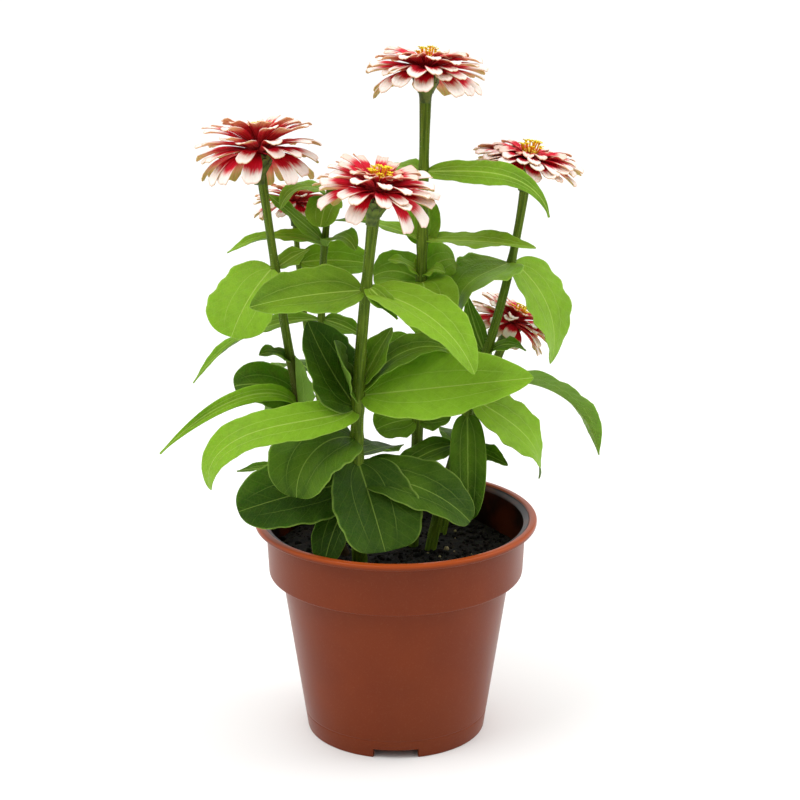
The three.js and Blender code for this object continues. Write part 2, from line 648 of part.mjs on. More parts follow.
/** Soil: fills the pot, with a crumbly top and a plain hole for each stem. */
function soilSolid() {
  const bottom = BASE_HEIGHT + WALL + GAP;
  const side = [
    [FOOT_RADIUS - WALL - 1.2 - GAP, bottom],
    [FOOT_RADIUS - WALL + 0.3 - GAP, bottom + 1.6],
    [BODY_TOP_RADIUS - WALL - 0.4 - GAP, BAND_FOOT_HEIGHT - 3.2],
    [BAND_FOOT_RADIUS - WALL - 0.8 - GAP, BAND_FOOT_HEIGHT + WALL + 1.6],
    [BAND_FOOT_RADIUS - WALL - 0.6 - GAP, SOIL_TOP - 2],
  ];
  const rimRadius = side[side.length - 1][0];
  const points = [new THREE.Vector3(0, 0, bottom)];
  const ring = (radius, height) => {
    for (let k = 0; k < SOIL_SECTORS; k += 1) {
      const angle = (2 * Math.PI * k) / SOIL_SECTORS;
      points.push(new THREE.Vector3(radius * Math.cos(angle), radius * Math.sin(angle), height(k)));
    }
  };
  side.forEach(([radius, height]) => ring(radius, () => height));
  for (let j = 1; j < SOIL_RINGS; j += 1) {
    const share = 1 - j / SOIL_RINGS;
    ring(rimRadius * share, (k) => SOIL_TOP + SOIL_ROUGHNESS * scatter(k, j) - 0.8 * share);
  }
  points.push(new THREE.Vector3(0, 0, SOIL_TOP));
  const rings = side.length + SOIL_RINGS - 1;
  let soil = solidOf(geometryOf(points, shellTriangles(rings, SOIL_SECTORS)));
  for (const stem of STEMS) {
    soil = soil.subtract(stemHole(stem));
  }
  return soil;
}

/** Hole of a stem: a straight one round its buried stretch, open at the top. */
function stemHole(stem) {
  const curve = stemCurve(stem);
  const tangent = curve.getTangent(0);
  const radius = stem.radii[0] + HOLE_CLEARANCE;
  const sections = [-GAP, STEM_DEPTH_IN_SOIL + HOLE_OVERRUN].map((reach) => {
    const center = curve.getPoint(0).addScaledVector(tangent, reach);
    return { center, tangent, radius };
  });
  return stalk(sections);
}

const plant = new THREE.Group();
plant.add(meshOf("pot", potSolid(), COLORS.pot, 0.45));
plant.add(meshOf("soil", soilSolid(), COLORS.soil, 0.95));
for (const stem of STEMS) {
  plant.add(meshOf(stem.name, greenSolid(stem), COLORS.green, 0.6));
  if (stem.bloom) {
    plant.add(meshOf(`bloom_${stem.bloom.name}_rays`, raysSolid(stem), COLORS.rays, 0.7));
    plant.add(meshOf(`bloom_${stem.bloom.name}_disc`, discSolid(stem), COLORS.disc, 0.7));
  }
}

export default plant;
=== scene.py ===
"""A zinnia in flower in its plastic pot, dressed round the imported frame.

Lengths are in millimetres until a mesh is written, where they become metres. The origin is the
middle of the pot's foot, +Z is up, and the front of the plant faces -Y.
"""

import logging
import math
from dataclasses import dataclass, field
from enum import Enum

import bpy
import numpy as np
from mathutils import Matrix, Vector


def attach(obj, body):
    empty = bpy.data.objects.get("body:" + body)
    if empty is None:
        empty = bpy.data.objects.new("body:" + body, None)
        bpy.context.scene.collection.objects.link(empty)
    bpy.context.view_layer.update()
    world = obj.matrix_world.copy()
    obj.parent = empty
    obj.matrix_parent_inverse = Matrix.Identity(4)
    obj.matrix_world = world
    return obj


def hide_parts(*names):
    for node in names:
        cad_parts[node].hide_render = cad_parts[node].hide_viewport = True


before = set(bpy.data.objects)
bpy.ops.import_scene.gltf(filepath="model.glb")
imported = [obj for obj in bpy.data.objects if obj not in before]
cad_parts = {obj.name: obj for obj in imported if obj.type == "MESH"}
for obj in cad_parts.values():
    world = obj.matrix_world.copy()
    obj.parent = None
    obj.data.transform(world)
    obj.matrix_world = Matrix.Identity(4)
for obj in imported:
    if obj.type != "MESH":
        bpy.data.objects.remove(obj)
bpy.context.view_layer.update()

Array = np.ndarray
Point = tuple[float, float, float]
Color = tuple[float, float, float, float]

LOG = logging.getLogger("zinnia")
MM = 0.001
BODY = "root"
RIB_STEPS = 96
WELD_DECIMALS = 4
GOLDEN_ANGLE = 137.508

# Colour sockets of the mix node
MIX_A = 6
MIX_B = 7
MIX_RESULT = 2


def tint(red: float, green: float, blue: float) -> Color:
    """Linear colour of an sRGB colour given from 0 to 255.

    Args:
        red: Red, from 0 to 255.
        green: Green, from 0 to 255.
        blue: Blue, from 0 to 255.

    Returns:
        Red, green, blue and opacity, from 0 to 1.
    """
    share = np.array([red, green, blue]) / 255
    linear = np.where(share <= 0.04045, share / 12.92, ((share + 0.055) / 1.055) ** 2.4)
    return (float(linear[0]), float(linear[1]), float(linear[2]), 1.0)


def scatter(a: Array, b: float) -> Array:
    """Repeatable scatter between -1 and 1: the fraction of a large sine of the whole numbers a, b."""
    wave = np.sin(np.asarray(a) * 12.9898 + b * 78.233) * 43758.5453
    return 2 * (wave - np.floor(wave)) - 1


def smooth(low: float, high: float, value: Array) -> Array:
    """Smooth step from 0 at low to 1 at high: t squared times (3 - 2 t)."""
    t = np.clip((value - low) / (high - low), 0, 1)
    return t * t * (3 - 2 * t)


def unit(vectors: Array) -> Array:
    """Vectors divided by their length."""
    return vectors / np.linalg.norm(vectors, axis=-1, keepdims=True)


def triple(x: Array, y: Array, z: Array) -> Array:
    """Three arrays or numbers, spread to one shape and stacked along a new last axis."""
    return np.stack(np.broadcast_arrays(x, y, z), axis=-1)


def round_z(radius: Array, angle: Array, height: Array) -> Array:
    """Points at a radius and an angle round the Z axis, and at a height on it."""
    return triple(radius * np.cos(angle), radius * np.sin(angle), height)


def value_noise(points: Array, cell: float, seed: int) -> Array:
    """Smooth noise between -1 and 1: scatter at whole cells, blended with a smooth step between.

    Args:
        points: Places, with x, y and z last.
        cell: Size of a cell, in millimetres.
        seed: Number that picks the pattern.

    Returns:
        The noise at each place.
    """
    grid = points / cell
    base = np.floor(grid)
    blend = grid - base
    blend = blend * blend * (3 - 2 * blend)
    total = np.zeros(points.shape[:-1])
    for corner in range(8):
        step = np.array([corner & 1, corner >> 1 & 1, corner >> 2 & 1])
        place = base + step
        key = place[..., 0] * 17.0 + place[..., 1] * 59.0 + place[..., 2] * 101.0
        weight = np.prod(np.where(step == 1, blend, 1 - blend), axis=-1)
        total += weight * scatter(key, seed)
    return total


@dataclass
class Patch:
    """Surface as points in millimetres, faces as arrays of point numbers, and marks at its points."""

    points: Array
    faces: list[Array]
    marks: dict[str, Array] = field(default_factory=dict)


def merged(patches: list[Patch]) -> Patch:
    """One patch of several, with the numbers in its faces moved on past the points before them.

    Args:
        patches: Patches that carry the same marks.

    Returns:
        The joined patch.
    """
    starts = np.cumsum([0] + [len(p.points) for p in patches])
    faces = [f + start for p, start in zip(patches, starts) for f in p.faces]
    names = patches[0].marks.keys()
    marks = {name: np.concatenate([p.marks[name] for p in patches]) for name in names}
    return Patch(np.concatenate([p.points for p in patches]), faces, marks)


def welded(patch: Patch) -> Patch:
    """The patch with points that lie at one place made one, and the faces that collapse by it dropped.

    Args:
        patch: Patch whose parts meet.

    Returns:
        The patch without doubles.
    """
    _, first, number = np.unique(
        np.round(patch.points, WELD_DECIMALS), axis=0, return_index=True, return_inverse=True
    )
    number = number.reshape(-1)
    faces = []
    for block in patch.faces:
        renamed = number[block]
        spread = np.sort(renamed, axis=1)
        faces.append(renamed[(np.diff(spread, axis=1) != 0).all(axis=1)])
    return Patch(patch.points[first], faces, {k: v[first] for k, v in patch.marks.items()})


def grid_quads(rows: int, columns: int, around: bool = False) -> Array:
    """Quads of a grid numbered row by row.

    Args:
        rows: Number of rows of points.
        columns: Number of points in a row.
        around: True if the last column joins the first.

    Returns:
        Point numbers, four to a quad, facing the way of row direction cross column direction.
    """
    row = np.arange(rows - 1)[:, None] * columns
    column = np.arange(columns if around else columns - 1)[None]
    beside = (column + 1) % columns
    corners = [row + column, row + columns + column, row + columns + beside, row + beside]
    return np.stack(corners, axis=-1).reshape(-1, 4)


def repeated(faces: list[Array], count: int, stride: int) -> list[Array]:
    """Faces of a shape repeated count times, whose points lie stride numbers apart."""
    steps = (np.arange(count) * stride)[:, None, None]
    return [(f[None] + steps).reshape(-1, f.shape[1]) for f in faces]


def shells(rings: Array, first: Array, last: Array) -> Patch:
    """Closed shells: rings of points joined by quads, and a fan from each end ring to its pole.

    Args:
        rings: Points, as shell, ring, place round the ring, and x, y, z. The rings run so that ring
            direction cross round direction points outwards.
        first: Pole before the first ring of each shell.
        last: Pole after the last ring of each shell.

    Returns:
        The shells as one patch without marks.
    """
    count, levels, sides, _ = rings.shape
    points = np.concatenate([first[:, None], rings.reshape(count, -1, 3), last[:, None]], axis=1)
    quads = grid_quads(levels, sides, around=True) + 1
    here = np.arange(sides)
    beside = (here + 1) % sides
    end = 1 + (levels - 1) * sides
    low = np.stack([np.zeros(sides, int), here + 1, beside + 1], axis=-1)
    high = np.stack([np.full(sides, end + sides), end + beside, end + here], axis=-1)
    faces = repeated([quads, low, high], count, levels * sides + 2)
    return Patch(points.reshape(-1, 3), faces)


def blades(upper: Array, lower: Array, marks: dict[str, Array]) -> Patch:
    """Closed blades: an upper and a lower grid, joined by a rim that runs round their border.

    Args:
        upper: Points as blade, row, column, and x, y, z.
        lower: The same for the underside.
        marks: Three numbers at each upper point. The third of "blade" becomes 1 on the underside.

    Returns:
        The blades as one patch.
    """
    count, rows, columns, _ = upper.shape
    size = rows * columns
    top = grid_quads(rows, columns)
    number = np.arange(size).reshape(rows, columns)
    border = np.concatenate(
        [number[:-1, 0], number[-1, :-1], number[:0:-1, -1], number[0, :0:-1]]
    )
    after = np.roll(border, -1)
    rim = np.stack([after, border, border + size, after + size], axis=-1)
    faces = repeated([top, top[:, ::-1] + size, rim], count, 2 * size)
    points = np.stack([upper, lower], axis=1).reshape(-1, 3)
    both = {}
    for name, values in marks.items():
        pair = np.stack([values, values], axis=1).copy()
        if name == "blade":
            pair[:, 0, ..., 2] = 0
            pair[:, 1, ..., 2] = 1
        both[name] = pair.reshape(-1, 3)
    return Patch(points, faces, both)


def rib_frames(
    form: dict[str, Array], bend: float, sweep: Array, roll: Array, s: Array
) -> tuple[Array, Array, Array, Array]:
    """Rib of a blade: its pitch is rise - droop s^bend and its heading az + sweep s, in degrees.

    The direction is summed over even steps, each taken at its middle, and scaled to the length.

    Args:
        form: Arrays az, rise, droop and length, one number to a blade.
        bend: Power that keeps the droop for the outer part.
        sweep: Change of heading along each rib.
        roll: Turn of each blade about its rib.
        s: Places along the rib, from 0 to 1.

    Returns:
        Offsets from the root, and along, side and face directions, as blade, place, and x, y, z.
    """

    def directions(t: Array) -> tuple[Array, Array]:
        """Pitch and yaw, in radians, at places t.

        Args:
            t: Places along the rib, from 0 to 1.

        Returns:
            Pitch and yaw, as blade and place.
        """
        pitch = np.radians(form["rise"][:, None] - form["droop"][:, None] * t**bend)
        yaw = np.radians(form["az"][:, None] + sweep[:, None] * t)
        return pitch, yaw

    def heading(pitch: Array, yaw: Array) -> Array:
        """Direction of a pitch and a yaw."""
        level = np.cos(pitch)
        return round_z(level, yaw, np.sin(pitch))

    middle = (np.arange(RIB_STEPS) + 0.5) / RIB_STEPS
    steps = heading(*directions(middle)) * (form["length"] / RIB_STEPS)[:, None, None]
    summed = np.concatenate([np.zeros_like(steps[:, :1]), np.cumsum(steps, axis=1)], axis=1)
    index = np.clip((s * RIB_STEPS).astype(int), 0, RIB_STEPS - 1)
    share = (s * RIB_STEPS - index)[None, :, None]
    offset = summed[:, index] * (1 - share) + summed[:, index + 1] * share
    pitch, yaw = directions(s)
    along = heading(pitch, yaw)
    flat = triple(-np.sin(yaw), np.cos(yaw), 0)
    face = np.cross(along, flat)
    turn = np.radians(roll)[:, None, None]
    side = flat * np.cos(turn) + face * np.sin(turn)
    normal = face * np.cos(turn) - flat * np.sin(turn)
    return offset, along, side, normal


def mesh_object(
    name: str, patch: Patch, material: bpy.types.Material, crease: float = 0.0
) -> bpy.types.Object:
    """Mesh object of a patch.

    Args:
        name: Name of the object and its mesh.
        patch: Surface in millimetres.
        material: Finish of the whole piece.
        crease: Angle, in degrees, past which an edge is drawn sharp. 0 leaves all edges smooth.

    Returns:
        The object, at the origin.
    """
    mesh = bpy.data.meshes.new(name)
    sizes = np.concatenate([np.full(len(f), f.shape[1]) for f in patch.faces])
    loops = np.concatenate([f.reshape(-1) for f in patch.faces])
    mesh.vertices.add(len(patch.points))
    mesh.vertices.foreach_set("co", (patch.points * MM).astype(np.float32).reshape(-1))
    mesh.loops.add(len(loops))
    mesh.loops.foreach_set("vertex_index", loops.astype(np.int32))
    mesh.polygons.add(len(sizes))
    mesh.polygons.foreach_set("loop_start", (np.cumsum(sizes) - sizes).astype(np.int32))
    mesh.polygons.foreach_set("use_smooth", np.ones(len(sizes), bool))
    mesh.update(calc_edges=True)
    for label, values in patch.marks.items():
        mark = mesh.attributes.new(label, "FLOAT_VECTOR", "POINT")
        mark.data.foreach_set("vector", values.astype(np.float32).reshape(-1))
    if crease:
        mesh.set_sharp_from_angle(angle=math.radians(crease))
    mesh.materials.append(material)
    piece = bpy.data.objects.new(name, mesh)
    bpy.context.scene.collection.objects.link(piece)
    return piece


def dressed(piece: bpy.types.Object, node: str | None = None) -> bpy.types.Object:
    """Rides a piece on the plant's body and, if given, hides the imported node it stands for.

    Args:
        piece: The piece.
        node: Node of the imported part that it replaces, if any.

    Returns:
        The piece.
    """
    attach(piece, BODY)
    if node:
        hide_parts(node)
    return piece


Socket = bpy.types.NodeSocket
Input = Socket | float | Color


class Board:
    """Node tree of one material, with short calls that add a node and return its output."""

    def __init__(self, name: str) -> None:
        """Makes an empty material of that name.

        Args:
            name: Name of the material.
        """
        self.material = bpy.data.materials.new(name)
        self.material.use_nodes = True
        self.tree = self.material.node_tree
        self.tree.nodes.clear()

    def feed(self, socket: Socket, value: Input | None) -> None:
        """Links a socket to an output, or sets its value.

        Args:
            socket: Input of a node.
            value: Output to link, or number or colour to set. None leaves the input alone.
        """
        if isinstance(value, bpy.types.NodeSocket):
            self.tree.links.new(value, socket)
        elif value is not None:
            socket.default_value = value

    def mark(self, name: str) -> list[Socket]:
        """The three numbers of a mesh attribute.

        Args:
            name: Name of the attribute.

        Returns:
            Its x, y and z.
        """
        source = self.tree.nodes.new("ShaderNodeAttribute")
        source.attribute_name = name
        split = self.tree.nodes.new("ShaderNodeSeparateXYZ")
        self.tree.links.new(source.outputs["Vector"], split.inputs[0])
        return list(split.outputs)

    def math(self, operation: str, a: Input, b: Input | None = None, c: Input | None = None) -> Socket:
        """A math node.

        Args:
            operation: Name of the operation.
            a: First input.
            b: Second input, if any.
            c: Third input, if any.

        Returns:
            The result.
        """
        node = self.tree.nodes.new("ShaderNodeMath")
        node.operation = operation
        for socket, value in zip(node.inputs, (a, b, c)):
            self.feed(socket, value)
        return node.outputs[0]

    def span(self, value: Input, low: Input, high: Input, start: float = 0.0, end: float = 1.0) -> Socket:
        """Smooth step of value between low and high, sent to start and end.

        Args:
            value: The number.
            low: Value at which the step starts.
            high: Value at which it ends.
            start: Result at low.
            end: Result at high.

        Returns:
            The result.
        """
        node = self.tree.nodes.new("ShaderNodeMapRange")
        node.interpolation_type = "SMOOTHSTEP"
        for name, given in zip(
            ("Value", "From Min", "From Max", "To Min", "To Max"), (value, low, high, start, end)
        ):
            self.feed(node.inputs[name], given)
        return node.outputs[0]

    def mix(self, share: Input, a: Input, b: Input) -> Socket:
        """A colour mix of a towards b.

        Args:
            share: Share of b, from 0 to 1.
            a: First colour.
            b: Second colour.

        Returns:
            The mixed colour.
        """
        node = self.tree.nodes.new("ShaderNodeMix")
        node.data_type = "RGBA"
        self.feed(node.inputs[0], share)
        self.feed(node.inputs[MIX_A], a)
        self.feed(node.inputs[MIX_B], b)
        return node.outputs[MIX_RESULT]

    def vector(self, x: Input, y: Input, z: Input) -> Socket:
        """A vector of three numbers.

        Args:
            x: First number.
            y: Second number.
            z: Third number.

        Returns:
            The vector.
        """
        node = self.tree.nodes.new("ShaderNodeCombineXYZ")
        for socket, value in zip(node.inputs, (x, y, z)):
            self.feed(socket, value)
        return node.outputs[0]

    def place(self) -> Socket:
        """Object coordinates, in metres."""
        return self.tree.nodes.new("ShaderNodeTexCoord").outputs["Object"]

    def noise(self, scale: float, detail: float = 2.0, where: Socket | None = None) -> Socket:
        """Noise between 0 and 1, at object coordinates unless a vector is given.

        Args:
            scale: Lumps to a metre, or to one unit of the vector.
            detail: Octaves.
            where: Vector to read in place of the coordinates.

        Returns:
            The noise.
        """
        node = self.tree.nodes.new("ShaderNodeTexNoise")
        node.inputs["Scale"].default_value = scale
        node.inputs["Detail"].default_value = detail
        self.feed(node.inputs["Vector"], where or self.place())
        return node.outputs[0]

    def cells(self, scale: float) -> Socket:
        """Distance to the border of irregular cells, in cell sizes, at object coordinates.

        Args:
            scale: Cells to a metre.

        Returns:
            The distance.
        """
        node = self.tree.nodes.new("ShaderNodeTexVoronoi")
        node.feature = "DISTANCE_TO_EDGE"
        node.inputs["Scale"].default_value = scale
        self.feed(node.inputs["Vector"], self.place())
        return node.outputs["Distance"]

    def bump(self, height: Socket, depth: float) -> Socket:
        """Normal bent by a height between 0 and 1 that stands for depth, in millimetres.

        Args:
            height: The height.
            depth: What its full range stands for, in millimetres.

        Returns:
            The bent normal.
        """
        node = self.tree.nodes.new("ShaderNodeBump")
        node.inputs["Distance"].default_value = depth * MM
        node.inputs["Strength"].default_value = 1.0
        self.feed(node.inputs["Height"], height)
        return node.outputs[0]

    def skin(
        self, color: Input, roughness: Input, normal: Socket | None = None, **fixed: float | Point
    ) -> bpy.types.Material:
        """Ends the tree in one shader.

        Args:
            color: Base colour.
            roughness: Roughness.
            normal: Bent normal, if any.
            **fixed: Values set on the shader's own sockets, with _ for a space in their names.

        Returns:
            The finished material.
        """
        shader = self.tree.nodes.new("ShaderNodeBsdfPrincipled")
        self.feed(shader.inputs["Base Color"], color)
        self.feed(shader.inputs["Roughness"], roughness)
        self.feed(shader.inputs["Normal"], normal)
        for name, value in fixed.items():
            shader.inputs[name.replace("_", " ")].default_value = value
        out = self.tree.nodes.new("ShaderNodeOutputMaterial")
        self.tree.links.new(shader.outputs[0], out.inputs[0])
        return self.material


@dataclass(frozen=True)
class LeafSkin:
    """Hairy leaf: green blade, dark to light by age and by painted shade, pale nerves with branches and a
    fine net, paler underside.
    """

    # Dark green of an old leaf and of painted shade; light green of a young leaf and of painted light.
    old_and_shaded: Color = tint(40, 70, 3)
    young: Color = tint(126, 168, 34)
    nerve: Color = tint(172, 202, 92)
    under: Color = tint(116, 150, 60)
    bruise: Color = tint(72, 92, 10)
    net_scale: float = 620.0

    def material(self) -> bpy.types.Material:
        """Builds the finish from the marks veins and blade, and the mark of the leaf's age and painted shade.

        Returns:
            The finished material.
        """
        board = Board("leaf_skin")
        across, beside, phase = board.mark("veins")
        s, rim, under = board.mark("blade")
        tone, _, _ = board.mark("tone")
        reach = board.math("ABSOLUTE", across)
        thin = board.math("MULTIPLY_ADD", s, -0.5, 0.8)
        middle = board.span(reach, 0.1, thin, 1.0, 0.0)
        lateral = board.span(board.math("ABSOLUTE", beside), 0.06, 0.36, 0.55, 0.0)
        lateral = board.math("MULTIPLY", lateral, board.span(s, 0.7, 0.98, 1.0, 0.0))
        wander = board.math("MULTIPLY_ADD", board.noise(90.0, 1.0), 0.5, phase)
        stray = board.math("ABSOLUTE", board.math("SUBTRACT", board.math("FRACT", wander), 0.5))
        branch = board.span(stray, 0.008, 0.035, 0.28, 0.0)
        branch = board.math("MULTIPLY", branch, board.span(rim, 0.75, 1.0, 1.0, 0.2))
        net = board.span(board.cells(self.net_scale), 0.0, 0.12, 0.09, 0.0)
        nerves = board.math("MAXIMUM", middle, lateral)
        nerves = board.math("MAXIMUM", nerves, board.math("MAXIMUM", branch, net))
        cloud = board.math("MULTIPLY_ADD", board.noise(34.0, 2.0), 0.7, -0.35)
        beside_nerve = board.span(board.math("ABSOLUTE", beside), 0.2, 3.0, -0.05, 0.05)
        cloud = board.math("ADD", cloud, beside_nerve)
        # Age and painted shade together: a low or shaded leaf is painted darker, a high lit one lighter.
        age_with_shade = board.math("ADD", tone, cloud)
        blade = board.mix(board.span(age_with_shade, 0.0, 1.0), self.old_and_shaded, self.young)
        blade = board.mix(board.span(board.noise(260.0, 2.0), 0.35, 0.75, 0.0, 0.16), blade, self.bruise)
        blade = board.mix(board.span(rim, 0.93, 1.0, 0.0, 0.35), blade, self.nerve)
        faded = board.mix(board.span(tone, 0.0, 0.8, 0.36, 0.72), blade, self.nerve)
        upper = board.mix(nerves, blade, faded)
        lower = board.mix(board.math("MULTIPLY", nerves, 0.6), board.mix(0.7, blade, self.under), self.nerve)
        color = board.mix(under, upper, lower)
        pillow = board.span(board.cells(self.net_scale), 0.0, 0.4, 0.0, 0.35)
        height = board.math("SUBTRACT", pillow, board.math("MULTIPLY", nerves, 0.6))
        normal = board.bump(height, 0.25)
        rough = board.span(board.noise(160.0, 2.0), 0.2, 0.8, 0.5, 0.65)
        return board.skin(
            color,
            rough,
            normal,
            Specular_IOR_Level=0.12,
            Subsurface_Weight=0.15,
            Subsurface_Radius=(0.5, 1.0, 0.1),
            Subsurface_Scale=0.002,
        )


@dataclass(frozen=True)
class StalkSkin:
    """Stalk: green and finely ribbed, brown towards the foot of an old one."""

    green: Color = tint(70, 94, 10)
    pale: Color = tint(110, 134, 34)
    brown: Color = tint(66, 48, 26)

    def material(self) -> bpy.types.Material:
        """Builds the finish from the mark stalk: height share, angle round it and brownness.

        Returns:
            The finished material.
        """
        board = Board("stalk_skin")
        height, around, brown = board.mark("stalk")
        lines = board.vector(board.math("MULTIPLY", around, 3.0), board.math("MULTIPLY", height, 5.0), 0.0)
        rib = board.noise(3.0, 3.0, lines)
        color = board.mix(board.span(rib, 0.3, 0.75), self.green, self.pale)
        patchy = board.math("MULTIPLY_ADD", board.noise(60.0, 3.0), 0.6, -0.3)
        color = board.mix(board.span(board.math("ADD", brown, patchy), 0.2, 0.8), color, self.brown)
        normal = board.bump(rib, 0.35)
        return board.skin(
            color, 0.55, normal, Specular_IOR_Level=0.15, Subsurface_Weight=0.08, Subsurface_Scale=0.001
        )


@dataclass(frozen=True)
class BractSkin:
    """Bracts of the cup: green scales with a thin dark edge."""

    green: Color = tint(98, 118, 38)
    shade: Color = tint(58, 80, 20)
    edge: Color = tint(46, 32, 18)

    def material(self) -> bpy.types.Material:
        """Builds the finish from the mark blade: place along, share of the half-width, underside.

        Returns:
            The finished material.
        """
        board = Board("bract_skin")
        s, rim, _ = board.mark("blade")
        color = board.mix(board.span(board.noise(300.0, 2.0), 0.3, 0.7), self.green, self.shade)
        border = board.math("MAXIMUM", board.span(rim, 0.78, 0.95), board.span(s, 0.9, 0.98))
        border = board.math("MULTIPLY", border, board.span(s, 0.25, 0.6))
        color = board.mix(border, color, self.edge)
        normal = board.bump(board.noise(900.0, 2.0), 0.15)
        return board.skin(color, 0.55, normal, Specular_IOR_Level=0.35)


@dataclass(frozen=True)
class HairSkin:
    """Short pale hairs of the stalks."""

    fresh: Color = tint(206, 218, 170)
    dry: Color = tint(176, 194, 128)

    def material(self) -> bpy.types.Material:
        """Builds the finish.

        Returns:
            The finished material.
        """
        board = Board("hair_skin")
        color = board.mix(board.noise(500.0), self.fresh, self.dry)
        return board.skin(color, 0.6, None, Specular_IOR_Level=0.3)


@dataclass(frozen=True)
class PetalSkin:
    """Ray petal: crimson from the seat, painted darker at the seat as shade, pinkish white at the tip, tan
    and green beneath.
    """

    # The dark crimson at the seat is painted shade of the hollow between the rows.
    painted_seat_shade: Color = tint(150, 8, 18)
    crimson: Color = tint(212, 18, 46)
    rose: Color = tint(236, 84, 116)
    cream: Color = tint(252, 240, 232)
    salmon: Color = tint(224, 152, 104)
    olive: Color = tint(188, 172, 92)
    tan: Color = tint(238, 178, 136)
    wine: Color = tint(216, 44, 54)

    def material(self) -> bpy.types.Material:
        """Builds the finish from the marks blade and tint: row, chance and place across.

        Returns:
            The finished material.
        """
        board = Board("petal_skin")
        s, rim, under = board.mark("blade")
        row, chance, across = board.mark("tint")
        stripes = board.vector(
            board.math("MULTIPLY", across, 4.0),
            board.math("MULTIPLY", s, 1.2),
            board.math("MULTIPLY", chance, 31.0),
        )
        streak = board.noise(1.6, 3.0, stripes)
        edge = board.math("MULTIPLY_ADD", streak, 0.26, 0.55)
        edge = board.math("MULTIPLY_ADD", chance, 0.06, edge)
        edge = board.math("MULTIPLY_ADD", board.math("POWER", rim, 2.0), -0.06, edge)
        pale = board.span(s, board.math("SUBTRACT", edge, 0.07), board.math("ADD", edge, 0.12))
        # Darker towards the seat: painted shade in the hollow between the rows.
        red = board.mix(board.span(s, 0.15, 0.5), self.painted_seat_shade, self.crimson)
        red = board.mix(board.span(streak, 0.5, 0.8, 0.0, 0.4), red, self.rose)
        tip = board.mix(board.span(row, 0.6, 1.0, 0.0, 0.7), self.cream, self.salmon)
        tip = board.mix(board.span(s, 0.95, 1.0, 0.0, 0.5), tip, self.tan)
        upper = board.mix(pale, red, tip)
        lines = board.math("SINE", board.math("MULTIPLY", across, 15.0))
        back = board.mix(board.span(s, 0.5, 0.85), self.wine, self.tan)
        greener = board.math("MULTIPLY", board.span(s, 0.6, 0.95), board.span(row, 0.0, 0.5, 1.0, 0.35))
        back = board.mix(greener, back, self.olive)
        back = board.mix(board.span(streak, 0.5, 0.75, 0.0, 0.45), back, self.salmon)
        back = board.mix(board.span(lines, 0.4, 1.0, 0.0, 0.3), back, self.wine)
        color = board.mix(under, upper, back)
        height = board.math("ADD", board.math("MULTIPLY", lines, 0.3), streak)
        normal = board.bump(height, 0.25)
        return board.skin(
            color,
            0.6,
            normal,
            Specular_IOR_Level=0.2,
            Subsurface_Weight=0.1,
            Subsurface_Radius=(1.0, 0.5, 0.4),
            Subsurface_Scale=0.001,
        )


@dataclass(frozen=True)
class FloretSkin:
    """Disc florets: yellow lobes, orange throats and greenish buds."""

    yellow: Color = tint(253, 226, 44)
    orange: Color = tint(238, 178, 20)
    bud: Color = tint(222, 196, 84)

    def material(self) -> bpy.types.Material:
        """Builds the finish from the mark floret: lobe share, bud share and chance.

        Returns:
            The finished material.
        """
        board = Board("floret_skin")
        lobe, bud, chance = board.mark("floret")
        color = board.mix(board.span(lobe, 0.1, 0.7), self.orange, self.yellow)
        closed = board.math("MULTIPLY", bud, board.span(chance, -1.0, 1.0, 0.4, 1.0))
        color = board.mix(closed, color, self.bud)
        normal = board.bump(board.noise(1200.0), 0.1)
        return board.skin(
            color, 0.6, normal, Specular_IOR_Level=0.3, Subsurface_Weight=0.1, Subsurface_Scale=0.001
        )


@dataclass(frozen=True)
class PotPlastic:
    """Moulded satin plastic in terracotta brown, with faint flow marks and a fine grain, the rim's top
    painted lighter as light and the inside painted dark as shade.
    """

    base: Color = tint(112, 43, 9)
    warm: Color = tint(120, 48, 11)
    dull: Color = tint(106, 45, 15)
    # The rim's top colour is painted light: lighter and more orange where light falls from above.
    lip: Color = tint(158, 66, 16)
    # Near black: painted shade on the inside of the pot.
    painted_inside_shade: Color = tint(22, 9, 3)
    dust: Color = tint(140, 84, 56)
    lit_rim_from: float = 116.5
    lit_rim_to: float = 118.3

    def material(self) -> bpy.types.Material:
        """Builds the finish from object coordinates and from the mark pot: 1 on the inside.

        Returns:
            The finished material.
        """
        board = Board("pot_plastic")
        inside, _, _ = board.mark("pot")
        flow = board.noise(26.0, 4.0)
        color = board.mix(board.span(flow, 0.3, 0.7), self.base, self.warm)
        color = board.mix(board.span(board.noise(9.0, 3.0), 0.45, 0.75, 0.0, 0.5), color, self.dull)
        speck = board.span(board.noise(1100.0, 1.0), 0.55, 0.75, 0.0, 0.15)
        color = board.mix(speck, color, self.dust)
        split = board.tree.nodes.new("ShaderNodeSeparateXYZ")
        board.feed(split.inputs[0], board.place())
        # Painted light: the rim's top between these two heights is painted lighter.
        lip = board.span(split.outputs[2], self.lit_rim_from * MM, self.lit_rim_to * MM)
        color = board.mix(lip, color, self.lip)
        # Painted shade: the inside of the pot is painted near black, in patches.
        inside_shade_share = board.span(board.noise(45.0, 3.0), 0.3, 0.6, 0.6, 1.0)
        color = board.mix(board.math("MULTIPLY", inside, inside_shade_share), color, self.painted_inside_shade)
        normal = board.bump(board.noise(1500.0, 2.0), 0.03)
        rough = board.span(flow, 0.25, 0.75, 0.28, 0.38)
        return board.skin(color, rough, normal, Specular_IOR_Level=0.17)


